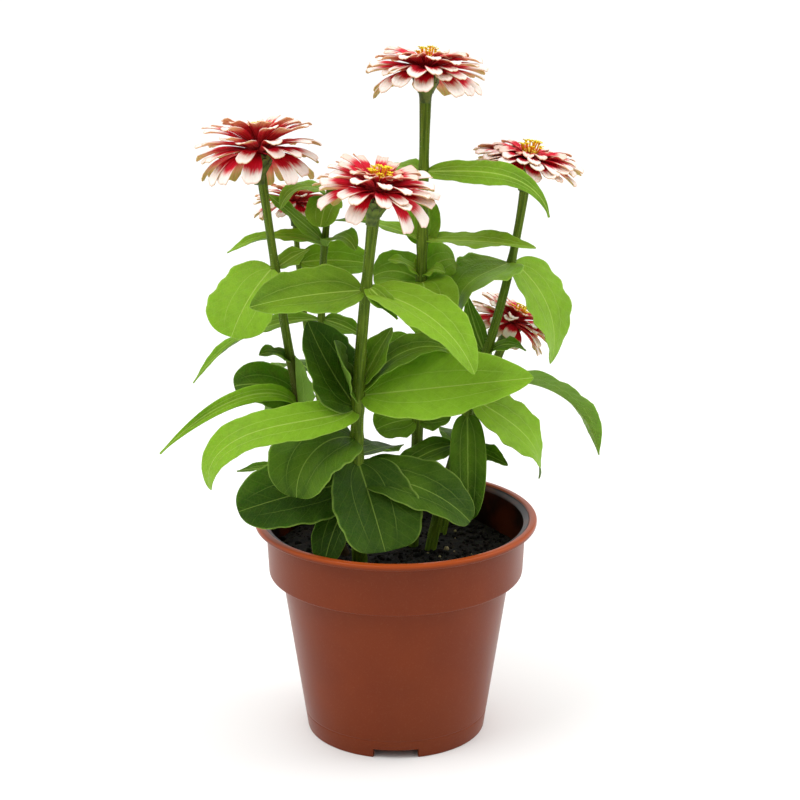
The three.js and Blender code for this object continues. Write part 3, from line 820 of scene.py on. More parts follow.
@dataclass(frozen=True)
class PottingMix:
    """Moist potting mix: near black, with brown fibre and a few pale crumbs."""

    wet: Color = tint(9, 8, 5)
    brown: Color = tint(30, 21, 12)
    pale: Color = tint(176, 160, 118)

    def material(self) -> bpy.types.Material:
        """Builds the finish from the mark crumb: paleness, and from object coordinates.

        Returns:
            The finished material.
        """
        board = Board("potting_mix")
        pale, _, _ = board.mark("crumb")
        color = board.mix(board.span(board.noise(320.0, 4.0), 0.4, 0.7), self.wet, self.brown)
        color = board.mix(pale, color, self.pale)
        normal = board.bump(board.noise(800.0, 4.0), 0.6)
        return board.skin(color, 0.85, normal, Specular_IOR_Level=0.2)


@dataclass(frozen=True)
class FloorPaint:
    """Plain pale floor."""

    white: Color = tint(246, 246, 244)
    shade: Color = tint(243, 243, 242)

    def material(self) -> bpy.types.Material:
        """Builds the finish.

        Returns:
            The finished material.
        """
        board = Board("floor_paint")
        color = board.mix(board.noise(4.0, 2.0), self.white, self.shade)
        return board.skin(color, 0.75, None, Specular_IOR_Level=0.2)


class Outline(Enum):
    """Leaf outlines, as the powers with which the half-width rises from the root and falls to the tip."""

    BLUNT = (0.3, 0.22)
    BROAD = (0.36, 0.4)
    OVATE = (0.5, 0.7)
    LANCE = (0.5, 1.0)


@dataclass(frozen=True)
class Leaf:
    """One leaf: at is its place on the stem from 0, the root, to 1, the bloom.

    az is its heading from +X towards +Y, rise its pitch at the stem, and droop how far the pitch
    falls by the tip, kept for the outer part by a bend above 1. sweep turns the heading along the
    leaf, roll turns the blade about its rib, and fold lifts both halves from it. Its green goes from
    0, dark, to 1, light, partly by its age and partly as painted shade, and follows from its height
    where none is given.
    """

    at: float
    az: float
    rise: float
    droop: float
    length: float
    width: float
    shape: Outline = Outline.OVATE
    bend: float = 1.0
    sweep: float = 0.0
    roll: float = 0.0
    fold: float = 14.0
    tone: float | None = None
    thickness: float = 0.5
    root_out: float = 1.4
    stalk_width: float = 4.0
    tip_width: float = 1.2
    wave: float = 1.5
    branch_gap: float = 8.0
    arch: float = 0.05
    quilt: float = 0.22
    rib_depth: float = 0.55
    rib_reach: float = 0.8

    def half_width(self, s: Array) -> Array:
        """Half-width: s^rise (1 - s)^fall scaled to the leaf's width, never under its stalk's.

        Args:
            s: Places along the rib, from 0 to 1.

        Returns:
            Half-widths, in millimetres.
        """
        rise, fall = self.shape.value
        widest = rise / (rise + fall)
        peak = widest**rise * (1 - widest) ** fall
        swell = s**rise * (1 - s) ** fall / peak
        plain = self.stalk_width * (1 - s) + self.tip_width * s
        return ((self.width * swell) ** 6 + plain**6) ** (1 / 6) / 2

    def patch(self, root: Array, seed: int, tone: float) -> Patch:
        """Blade of the leaf.

        Across the rib the half-width times u gives the reach, and the lift is a soft V by the fold,
        less a slight arch, plus a long and a short wave that grow towards the margin. The underside
        lies a thickness lower, with a ridge under the rib.

        Args:
            root: Where the rib starts, in millimetres.
            seed: Number that picks the leaf's own waves.
            tone: Green from 0, dark, to 1, light, by age and by painted shade.

        Returns:
            The closed blade with the marks veins and blade, and the mark of its age and painted shade.
        """
        rows = int(np.clip(round(self.length * 0.75), 16, 60))
        columns = 2 * int(np.clip(round(self.width * 0.32), 4, 14)) + 1
        s = 0.5 - 0.5 * np.cos(np.pi * np.linspace(0, 1, rows))
        u = np.sin(0.5 * np.pi * np.linspace(-1, 1, columns)) * 0.5 + np.linspace(-1, 1, columns) * 0.5
        form = {key: np.array([getattr(self, key)], float) for key in ("az", "rise", "droop", "length")}
        offset, _, side, normal = rib_frames(
            form, self.bend, np.array([self.sweep]), np.array([self.roll]), s
        )
        half = self.half_width(s)[:, None]
        reach = half * u[None]
        fold = math.radians(self.fold)
        size = np.abs(reach)
        soft = np.sqrt(size**2 + 0.8) - math.sqrt(0.8)
        chance = scatter(seed, 1)
        grow = np.sin(np.pi * s)[:, None]
        phase = 1.6 * s[:, None] + 0.25 * (u[None] > 0)
        ripple = self.wave * u[None] ** 2 * np.sin(2 * np.pi * phase) * grow
        quick = 0.5 * np.abs(u[None]) ** 3 * grow * half / 12
        ripple = ripple + quick * np.sin(2 * np.pi * (5.3 * s[:, None] + 0.37 * (u[None] > 0) + chance))
        arch = self.arch * size**2 / np.maximum(half, 1)
        along = s[:, None] * self.length
        step = (along - 1.15 * size) / self.branch_gap + 0.5 * (u[None] > 0)
        quilt = self.quilt * np.cos(2 * np.pi * (step + 0.5)) * smooth(0, 0.25, np.abs(u[None])) * grow
        lift = soft * math.sin(fold) - arch * math.sin(fold) + ripple + quilt
        middle = root + offset[0][:, None] + side[0][:, None] * (reach * math.cos(fold))[..., None]
        thick = self.thickness * (1 - 0.45 * u[None] ** 4) * np.ones_like(half)
        ridge = self.rib_depth * np.exp(-((reach / self.rib_reach) ** 2)) * (1 - 0.7 * s[:, None])
        face = normal[0][:, None]
        upper = middle + face * (lift + thick / 2)[..., None]
        lower = middle + face * (lift - thick / 2 - ridge)[..., None]
        nerve = 0.47 * (1 - np.exp(-s / 0.09)) * (1 - 0.2 * s)
        marks = {
            "veins": triple(reach, size - nerve[:, None] * half, step)[None],
            "blade": triple(s[:, None], np.abs(u), 0 * reach)[None],
            "tone": triple(tone, chance, 0 * reach)[None],
        }
        return blades(upper[None], lower[None], marks)


@dataclass(frozen=True)
class Finishes:
    """The plant's materials, each made once."""

    leaf: bpy.types.Material
    stalk: bpy.types.Material
    bract: bpy.types.Material
    hair: bpy.types.Material
    petal: bpy.types.Material
    floret: bpy.types.Material


@dataclass(frozen=True)
class PetalRow:
    """Row of ray petals: reach is its share of the bloom's radius, and seat its height on the core.

    rise, droop and bend shape the petals' ribs as they do a leaf's. crown goes from 0 for the lowest
    row to 1 for the innermost, whose tips are tan. The share hang takes up the bloom's own droop.
    """

    count: int
    reach: float
    seat: float
    rise: float
    droop: float
    bend: float
    width: float
    crown: float
    hang: float


# Places along a petal from its seat to its tip, closer together towards the tip
PETAL_PLACES = np.array([0, 0.09, 0.18, 0.28, 0.38, 0.48, 0.58, 0.67, 0.75, 0.82, 0.88, 0.93, 0.97, 1.0])

# Rings of an open floret: radius and height at a lobe, radius and height between two, and yellowness
FLORET_RINGS = np.array(
    [
        (0.40, 0.0, 0.40, 0.0, 0.0),
        (0.50, 2.6, 0.50, 2.6, 0.2),
        (0.85, 3.5, 0.80, 3.4, 0.6),
        (1.55, 3.95, 0.95, 3.6, 0.9),
        (2.15, 3.7, 0.98, 3.6, 1.0),
        (1.50, 4.2, 0.9, 3.75, 1.0),
        (0.80, 3.8, 0.70, 3.6, 0.6),
        (0.30, 3.0, 0.30, 3.0, 0.1),
    ]
)

SKIRT = (
    PetalRow(12, 1.0, 1.0, -4, 44, 1.0, 9.2, 0.0, 1.0),
    PetalRow(12, 0.98, 2.0, 8, 34, 1.3, 8.4, 0.15, 0.6),
)
LOOSE_SKIRT = (
    PetalRow(6, 1.0, 1.0, -2, 62, 1.3, 9.6, 0.0, 1.0),
    PetalRow(8, 1.0, 2.0, 12, 32, 1.3, 8.2, 0.15, 0.6),
)
CROWN = (
    PetalRow(12, 0.98, 3.2, 15, 26, 1.8, 7.6, 0.3, 0.0),
    PetalRow(11, 0.9, 4.4, 27, 34, 2.2, 7.2, 0.5, 0.0),
    PetalRow(11, 0.72, 5.8, 40, 48, 2.4, 6.2, 0.8, 0.0),
    PetalRow(8, 0.46, 7.0, 46, 56, 2.0, 5.0, 1.0, 0.0),
)


@dataclass(frozen=True)
class Bloom:
    """Bloom on a stem: az and tilt turn its axis, droop adds to the fall of its lower petals.

    scale is the size of its cup, core and disc, and stack the height of its cone of petals, both as
    shares of a full bloom's. rows are its rows of petals, from the outermost inward.
    """

    name: str
    az: float
    tilt: float
    radius: float
    droop: float
    scale: float = 1.0
    stack: float = 1.0
    rows: tuple[PetalRow, ...] = SKIRT + CROWN
    full_radius: float = 30.0
    seat_radius: float = 5.0
    core_radius: float = 6.8
    core_height: float = 8.0
    core_sides: int = 32
    gap: float = 0.3
    petal_thickness: float = 0.45
    places_across: int = 9
    small_share: float = 0.8
    outer_florets: int = 9
    inner_florets: int = 4
    bud_count: int = 26
    bud_height: float = 2.6

    def core_top(self) -> float:
        """Height of the core above the stem's head."""
        return self.core_height * self.scale * self.stack

    def axis_turn(self) -> Array:
        """Turn that takes +Z to the bloom's axis: I + K + K K / (1 + cosine), K the cross matrix.

        Returns:
            The turn as a matrix of three rows.
        """
        lean = math.radians(self.tilt)
        az = math.radians(self.az)
        x, y, z = math.sin(lean) * math.cos(az), math.sin(lean) * math.sin(az), math.cos(lean)
        cross = np.array([[0, 0, x], [0, 0, y], [-x, -y, 0]])
        return np.eye(3) + cross + cross @ cross / (1 + z)

    def placed(self, points: Array, head: Array) -> Array:
        """Points built about the bloom's own axis, moved onto the stem's head."""
        return points @ self.axis_turn().T + head

    def petal_row(self, number: int, head: Array) -> Patch:
        """One row of ray petals.

        Each petal's half-width grows by a smooth step to its widest at 0.72 of its length and its
        tip is rounded by drawing the outer points back, with one or two shallow notches. Its
        section is a channel: the lift goes with the square of the place across.

        Args:
            number: Row, from 0, the outermost.
            head: Top of the stem.

        Returns:
            The petals with the marks blade and tint.
        """
        row = self.rows[number]
        count = round(row.count * (self.small_share if self.scale < 1 else 1.0))
        k = np.arange(count)
        seed = k + 17 * number + 3 * int(self.radius)
        s = PETAL_PLACES
        t = np.linspace(-1, 1, self.places_across)
        seat_radius = self.seat_radius * self.scale * (1 - 0.55 * row.crown)
        form = {
            "az": 360 / count * (k + 0.5 * number + 0.25 * scatter(seed, 1)),
            "rise": row.rise * (self.stack if row.rise > 0 else 1.0) + 5 * scatter(seed, 2),
            "droop": row.droop + self.droop * row.hang + 9 * scatter(seed, 3),
            "length": (self.radius * row.reach * (1 + 0.06 * scatter(seed, 5)) - seat_radius) * 1.08,
        }
        offset, along, side, normal = rib_frames(
            form, row.bend, 10 * scatter(seed, 6), 12 * scatter(seed, 4), s
        )
        profile = 0.26 + 0.74 * smooth(-0.1, 0.72, s)
        wide = row.width * self.radius / self.full_radius * (1 + 0.08 * scatter(seed, 7))
        half = 0.5 * wide[:, None] * profile[None]
        end = smooth(0.7, 1.0, s)[None, :, None]
        round_off = 0.42 * wide[:, None, None] * (1 - np.sqrt(1 - 0.93 * t**2))[None, None]
        teeth = 0.5 * (1 + np.cos(2 * np.pi * (t[None] * 0.9 + 0.3 * scatter(seed, 8)[:, None])))
        notch = 0.09 * wide[:, None, None] * teeth[:, None]
        back = end * (round_off + notch)
        channel = (0.26 + 0.14 * scatter(seed, 9))[:, None, None] * half[..., None] * (t**2)[None, None]
        curl = 0.1 * wide[:, None, None] * scatter(seed, 10)[:, None, None] * (s**4)[None, :, None]
        crimp = 0.16 * np.cos(3 * np.pi * t)[None, None] * smooth(0.2, 0.7, s)[None, :, None]
        lift = channel + curl + crimp
        heading = np.radians(form["az"])
        seat = np.full(count, row.seat * self.scale * (1.0 if row.hang else self.stack))
        middle = round_z(seat_radius, heading, seat)[:, None, None] + offset[:, :, None]
        middle = middle + side[:, :, None] * (half[..., None] * t[None, None])[..., None]
        middle = middle - along[:, :, None] * back[..., None]
        face = normal[:, :, None]
        thick = self.petal_thickness / 2
        upper = self.placed(middle + face * (lift + thick)[..., None], head)
        lower = self.placed(middle + face * (lift - thick)[..., None], head)
        ones = np.ones_like(lift)
        marks = {
            "blade": triple(s[None, :, None], np.abs(t), 0 * ones),
            "tint": triple(row.crown, scatter(seed, 11)[:, None, None], t * ones),
        }
        return blades(upper, lower, marks)

    def core(self, head: Array) -> Patch:
        """Core that carries the petals: a low cone with a rounded shoulder, as rings on its axis.

        Args:
            head: Top of the stem.

        Returns:
            The core with the marks blade and tint.
        """
        profile = np.array([(0.96, 0.02), (1.0, 0.3), (0.95, 0.7), (0.8, 0.95), (0.5, 1.03)])
        angle = np.linspace(0, 2 * np.pi, self.core_sides, endpoint=False)
        radius = profile[:, :1] * self.core_radius * self.scale
        height = self.gap + (self.core_top() - self.gap) * profile[:, 1:]
        rings = round_z(radius, angle, height)[::-1]
        low = np.array([[0, 0, self.gap]])
        high = np.array([[0, 0, self.core_top() * 1.04]])
        patch = shells(rings[None], high, low)
        patch.points = self.placed(patch.points, head)
        zero = np.zeros_like(patch.points)
        patch.marks = {"blade": zero, "tint": zero.copy()}
        return patch

    def rays(self, head: Array, finishes: Finishes) -> bpy.types.Object:
        """All petals of the bloom on their core.

        Args:
            head: Top of the stem.
            finishes: The plant's materials.

        Returns:
            The petals and their core as one piece.
        """
        patches = [self.core(head)]
        patches += [self.petal_row(number, head) for number in range(len(self.rows))]
        name = f"bloom_{self.name}_rays"
        piece = mesh_object(f"{name}_look", merged(patches), finishes.petal)
        return dressed(piece, name)

    def florets(self, head: Array) -> Patch:
        """Open florets: each a tube whose rim flares in five pointed, curled lobes.

        Ring k of the tube has one radius and height at the lobes and another between them, out to
        the lobes' tips and back over their upper side into the throat.

        Args:
            head: Top of the stem.

        Returns:
            The florets with the mark floret.
        """
        levels = FLORET_RINGS
        outer = round(self.outer_florets * self.scale)
        count = outer + self.inner_florets
        k = np.arange(count)
        ring = np.where(k < outer, 4.1, 2.2) * self.scale
        spot = np.where(k < outer, k * 2 * np.pi / outer, k * 2 * np.pi / self.inner_florets + 0.4)
        spot = spot + 0.25 * scatter(k, 3)
        base = self.core_top() + np.where(k < outer, 1.8, 3.0) * self.scale
        tall = (1.15 + 0.3 * scatter(k, 4)) * self.scale
        lean = np.radians(np.where(k < outer, 24, 8) + 10 * scatter(k, 5))
        sides = 10
        turn = np.arange(sides) * 2 * np.pi / sides
        lobe = (np.arange(sides) % 2 == 0)[None]
        radius = np.where(lobe, levels[:, :1], levels[:, 2:3]) * 0.92 * self.scale
        height = np.where(lobe, levels[:, 1:2], levels[:, 3:4])
        spin = turn[None, None] + scatter(k, 6)[:, None, None] * 3
        x = radius[None] * np.cos(spin)
        y = radius[None] * np.sin(spin)
        z = height[None] * tall[:, None, None]
        away = ring[:, None, None] + z * np.sin(lean)[:, None, None]
        rings = triple(
            x + np.cos(spot)[:, None, None] * away,
            y + np.sin(spot)[:, None, None] * away,
            base[:, None, None] + z * np.cos(lean)[:, None, None],
        )
        first = rings[:, 0].mean(axis=1)
        last = rings[:, -1].mean(axis=1)
        patch = shells(rings[:, ::-1], last, first)
        share = np.broadcast_to(levels[::-1, 4][None, :, None], rings.shape[:3]).reshape(count, -1)
        share = np.concatenate([np.full((count, 1), 0.1), share, np.zeros((count, 1))], axis=1)
        each = share.shape[1]
        patch.marks = {"floret": triple(share.reshape(-1), 0, np.repeat(scatter(k, 7), each))}
        patch.points = self.placed(patch.points, head)
        return patch

    def buds(self, head: Array) -> Patch:
        """Closed florets heaped in a dome: small egg-shaped shells in a spiral.

        Args:
            head: Top of the stem.

        Returns:
            The buds with the mark floret.
        """
        k = np.arange(self.bud_count)
        spot = k * math.radians(GOLDEN_ANGLE)
        share = np.sqrt((k + 0.5) / self.bud_count)
        size = self.scale * (0.75 + 0.1 * scatter(k, 2))
        level = np.linspace(0.12, 0.9, 5)[None, :, None]
        angle = np.arange(8) * np.pi / 4
        radius = np.sin(np.pi * level) * size[:, None, None]
        rings = round_z(radius, angle, level * self.bud_height * size[:, None, None])
        seat = self.core_top() + (3.4 - 2.4 * share**2) * self.scale - 1.0
        center = round_z(share * 3.6 * self.scale, spot, seat)
        rings = rings + center[:, None, None]
        last = center + triple(0, 0, self.bud_height * size)
        patch = shells(rings[:, ::-1], last, center)
        each = rings.shape[1] * rings.shape[2] + 2
        closed = np.repeat(1 - 0.5 * share, each)
        patch.marks = {"floret": triple(0.6, closed, np.repeat(scatter(k, 9), each))}
        patch.points = self.placed(patch.points, head)
        return patch

    def disc(self, head: Array, finishes: Finishes) -> bpy.types.Object:
        """Yellow middle of the bloom.

        Args:
            head: Top of the stem.
            finishes: The plant's materials.

        Returns:
            The florets and buds as one piece.
        """
        name = f"bloom_{self.name}_disc"
        patch = merged([self.buds(head), self.florets(head)])
        piece = mesh_object(f"{name}_look", patch, finishes.floret)
        return dressed(piece, name)


@dataclass(frozen=True)
class LeafyStem:
    """Stalk on a cubic curve from the soil to its bloom, with its leaves and its cup of bracts.

    brown is how brown an old stalk's foot is. A row of bracts gives its start and end, as shares of
    the cup's height and negative below the bloom's seat, and its bracts' width as a share of their
    spacing.
    """

    name: str
    path: tuple[Point, Point, Point, Point]
    radii: tuple[float, float]
    leaves: tuple[Leaf, ...]
    bloom: Bloom | None = None
    brown: float = 0.0
    sides: int = 20
    sections: int = 110
    end: float = 0.99
    rib_share: float = 0.04
    cup_radius: float = 7.4
    cup_height: float = 15.0
    cup_sides: int = 28
    bracts_in_row: int = 9
    bract_rows: tuple[Point, ...] = ((-0.66, -0.28, 1.05), (-0.5, -0.1, 1.1), (-0.32, 0.06, 1.0))
    bract_thickness: float = 0.36
    hairs_per_mm: float = 7.0
    hair_radius: float = 0.045

    def curve(self, t: Array) -> Array:
        """Point of the cubic curve at t.

        Args:
            t: Places along the curve, from 0 to 1.

        Returns:
            Points, in millimetres.
        """
        p = np.array(self.path, float)
        t = np.asarray(t, float)[..., None]
        return (1 - t) ** 3 * p[0] + 3 * (1 - t) ** 2 * t * p[1] + 3 * (1 - t) * t**2 * p[2] + t**3 * p[3]

    def tangent(self, t: Array) -> Array:
        """Direction of the curve at t.

        Args:
            t: Places along the curve, from 0 to 1.

        Returns:
            Directions of length 1.
        """
        p = np.array(self.path, float)
        t = np.asarray(t, float)[..., None]
        steps = 3 * (1 - t) ** 2 * (p[1] - p[0]) + 6 * (1 - t) * t * (p[2] - p[1]) + 3 * t**2 * (p[3] - p[2])
        return unit(steps)

    def radius(self, t: Array) -> Array:
        """Radius at t: it narrows from the foot, swells at each leaf pair and below the bloom.

        Args:
            t: Places along the curve, from 0 to 1.

        Returns:
            Radii, in millimetres.
        """
        foot, head = self.radii
        plain = head + (foot - head) * (1 - t) ** 1.5
        knots = np.array(sorted({leaf.at for leaf in self.leaves}))
        near = np.exp(-(((np.asarray(t)[..., None] - knots) / 0.012) ** 2)).max(axis=-1)
        neck = 0.28 * smooth(0.86, 1.0, t) if self.bloom else 0.0
        return plain * (1 + 0.14 * near + neck)

    def rings(self, t: Array, angle: Array) -> tuple[Array, Array]:
        """Points on the stalk's surface and their outward directions, at t and angle.

        Args:
            t: Places along the curve, from 0 to 1.
            angle: Angles round the stalk, in radians.

        Returns:
            Points and outward directions.
        """
        tangent = self.tangent(t)
        normal = unit(np.array([1.0, 0, 0]) - tangent * tangent[..., :1])
        other = np.cross(tangent, normal)
        out = normal * np.cos(angle)[..., None] + other * np.sin(angle)[..., None]
        return self.curve(t) + out * self.radius(t)[..., None], out

    def stalk(self, finishes: Finishes) -> bpy.types.Object:
        """Stalk as rings along the curve, with five faint ribs round it.

        Args:
            finishes: The plant's materials.

        Returns:
            The stalk, which replaces the stem's node.
        """
        t = np.linspace(0, self.end, self.sections)
        turn = np.linspace(0, 2 * np.pi, self.sides, endpoint=False)
        long, round_ = np.meshgrid(t, turn, indexing="ij")
        surface, out = self.rings(long, round_)
        rib = self.rib_share * np.cos(5 * round_ + 3 * long) * self.radius(long)
        surface = surface + out * rib[..., None]
        patch = shells(surface[None], self.curve(t[:1]), self.curve(t[-1:]))
        brown = self.brown * smooth(0.75, 0.35, long) if self.brown else 0 * long
        rows = triple(long, round_ / np.pi, brown).reshape(-1, 3)
        patch.marks = {"stalk": np.concatenate([rows[:1], rows, rows[-1:]])}
        piece = mesh_object(f"{self.name}_stalk", patch, finishes.stalk)
        return dressed(piece, self.name)

    def hairs(self, finishes: Finishes) -> bpy.types.Object:
        """Hairs as slim three-sided spikes that start under the skin and lean a little upwards.

        Args:
            finishes: The plant's materials.

        Returns:
            The hairs.
        """
        span = np.linalg.norm(np.subtract(self.path[3], self.path[0]))
        count = int(span * self.hairs_per_mm)
        k = np.arange(count)
        t = 0.08 + 0.9 * (scatter(k, 21) * 0.5 + 0.5)
        angle = np.pi * scatter(k, 22)
        foot, out = self.rings(t, angle)
        tangent = self.tangent(t)
        lean = unit(out + tangent * (0.25 + 0.45 * scatter(k, 23))[:, None] + 0.25 * np.cross(out, tangent))
        length = 0.75 + 0.45 * scatter(k, 24)
        side = unit(np.cross(lean, tangent))
        other = np.cross(side, lean)
        base = foot - out * 0.1
        corners = [
            base + self.hair_radius * (side * math.cos(a) + other * math.sin(a))
            for a in (0, 2 * np.pi / 3, 4 * np.pi / 3)
        ]
        tip = base + lean * length[:, None]
        points = np.stack([*corners, tip], axis=1).reshape(-1, 3)
        spike = np.array([[0, 1, 3], [1, 2, 3], [2, 0, 3], [0, 2, 1]])
        patch = Patch(points, repeated([spike], count, 4))
        piece = mesh_object(f"{self.name}_hairs", patch, finishes.hair)
        return dressed(piece)

    def foliage(self, finishes: Finishes) -> bpy.types.Object:
        """All leaves of the stem. The higher a leaf, the lighter its green, unless it has its own: partly
        age, partly painted shade on the lower leaves.

        Args:
            finishes: The plant's materials.

        Returns:
            The leaves.
        """
        patches = []
        for number, leaf in enumerate(self.leaves):
            heading = math.radians(leaf.az)
            out = np.array([math.cos(heading), math.sin(heading), 0.0])
            root = self.curve(np.array(leaf.at)) + out * leaf.root_out
            # Lower leaves are painted darker: partly their age, partly painted shade under the leaves above.
            age_with_shade = 0.3 + 0.45 * smooth(150, 270, root[2]) + 0.12 * float(scatter(number, 5))
            tone = leaf.tone if leaf.tone is not None else float(age_with_shade)
            patches.append(leaf.patch(root, number + 7 * len(self.name), tone))
        piece = mesh_object(f"{self.name}_leaves", merged(patches), finishes.leaf)
        return dressed(piece)

    def cup(self, finishes: Finishes) -> bpy.types.Object:
        """Cup under the bloom: a funnel covered by three rows of overlapping rounded bracts.

        Each bract hugs the funnel's profile, starts under the row below, stands off a little more
        towards its tip, and narrows to it as the square root of one minus the fourth power.

        Args:
            finishes: The plant's materials.

        Returns:
            The cup.
        """
        bloom = self.bloom
        head = np.array(self.path[3], float)
        scale = bloom.scale
        neck = self.radii[1] * 1.2
        levels = np.array([-1.0, -0.8, -0.6, -0.45, -0.3, -0.15, 0.0])
        shares = np.array([0.0, 0.05, 0.22, 0.5, 0.78, 0.95, 1.0])
        full = (self.cup_radius - 0.9) * scale

        def radius_at(height: Array) -> Array:
            """Radius of the funnel at a height given as a share of the cup's."""
            return neck + (full - neck) * np.interp(height, levels, shares)

        turn = np.linspace(0, 2 * np.pi, self.cup_sides, endpoint=False)
        steps = np.linspace(-1, 0, 16)[:, None]
        rings = round_z(radius_at(steps), turn, steps * self.cup_height * scale)
        low = np.array([[0, 0, -self.cup_height * scale]])
        core = shells(rings[None], low, np.zeros((1, 3)))
        core.marks = {"blade": np.zeros_like(core.points)}
        patches = [core]
        s = np.linspace(0, 1, 9)
        u = np.linspace(-1, 1, 7)
        for row, (start, stop, wide) in enumerate(self.bract_rows):
            k = np.arange(self.bracts_in_row)
            middle = 2 * np.pi * (k + 0.5 * row) / self.bracts_in_row
            height = start + (stop - start) * s
            spread = wide * np.pi / self.bracts_in_row * np.sqrt(np.clip(1 - (s * 0.985) ** 4, 0, 1))
            spread = spread * (1 + 0.25 * (1 - s))
            angle = middle[:, None, None] + spread[None, :, None] * u[None, None]
            stand = (0.25 + 0.65 * s**1.5)[None, :, None] * (1 - 0.35 * u**2)[None, None]
            base = radius_at(height)[None, :, None]
            level = (height * self.cup_height * scale)[None, :, None]
            thick = self.bract_thickness / 2
            upper, lower = (
                round_z(base + lift * scale, angle, level) for lift in (stand + thick, stand - thick)
            )
            marks = {"blade": triple(s[None, :, None], np.abs(u), 0 * angle)}
            patches.append(blades(upper[:, :, ::-1], lower[:, :, ::-1], marks))
        cup = merged(patches)
        cup.points = bloom.placed(cup.points, head)
        piece = mesh_object(f"{self.name}_cup", cup, finishes.bract)
        return dressed(piece)

    def build(self, finishes: Finishes) -> None:
        """Builds the stalk, its hairs and leaves, and the bloom it carries.

        Args:
            finishes: The plant's materials.
        """
        pieces = [self.stalk(finishes), self.hairs(finishes), self.foliage(finishes)]
        if self.bloom:
            head = np.array(self.path[3], float)
            pieces.append(self.cup(finishes))
            pieces.append(self.bloom.rays(head, finishes))
            pieces.append(self.bloom.disc(head, finishes))
        for piece in pieces:
            LOG.info("%s: %d faces", piece.name, len(piece.data.polygons))


BLUNT = Outline.BLUNT
BROAD = Outline.BROAD
LANCE = Outline.LANCE

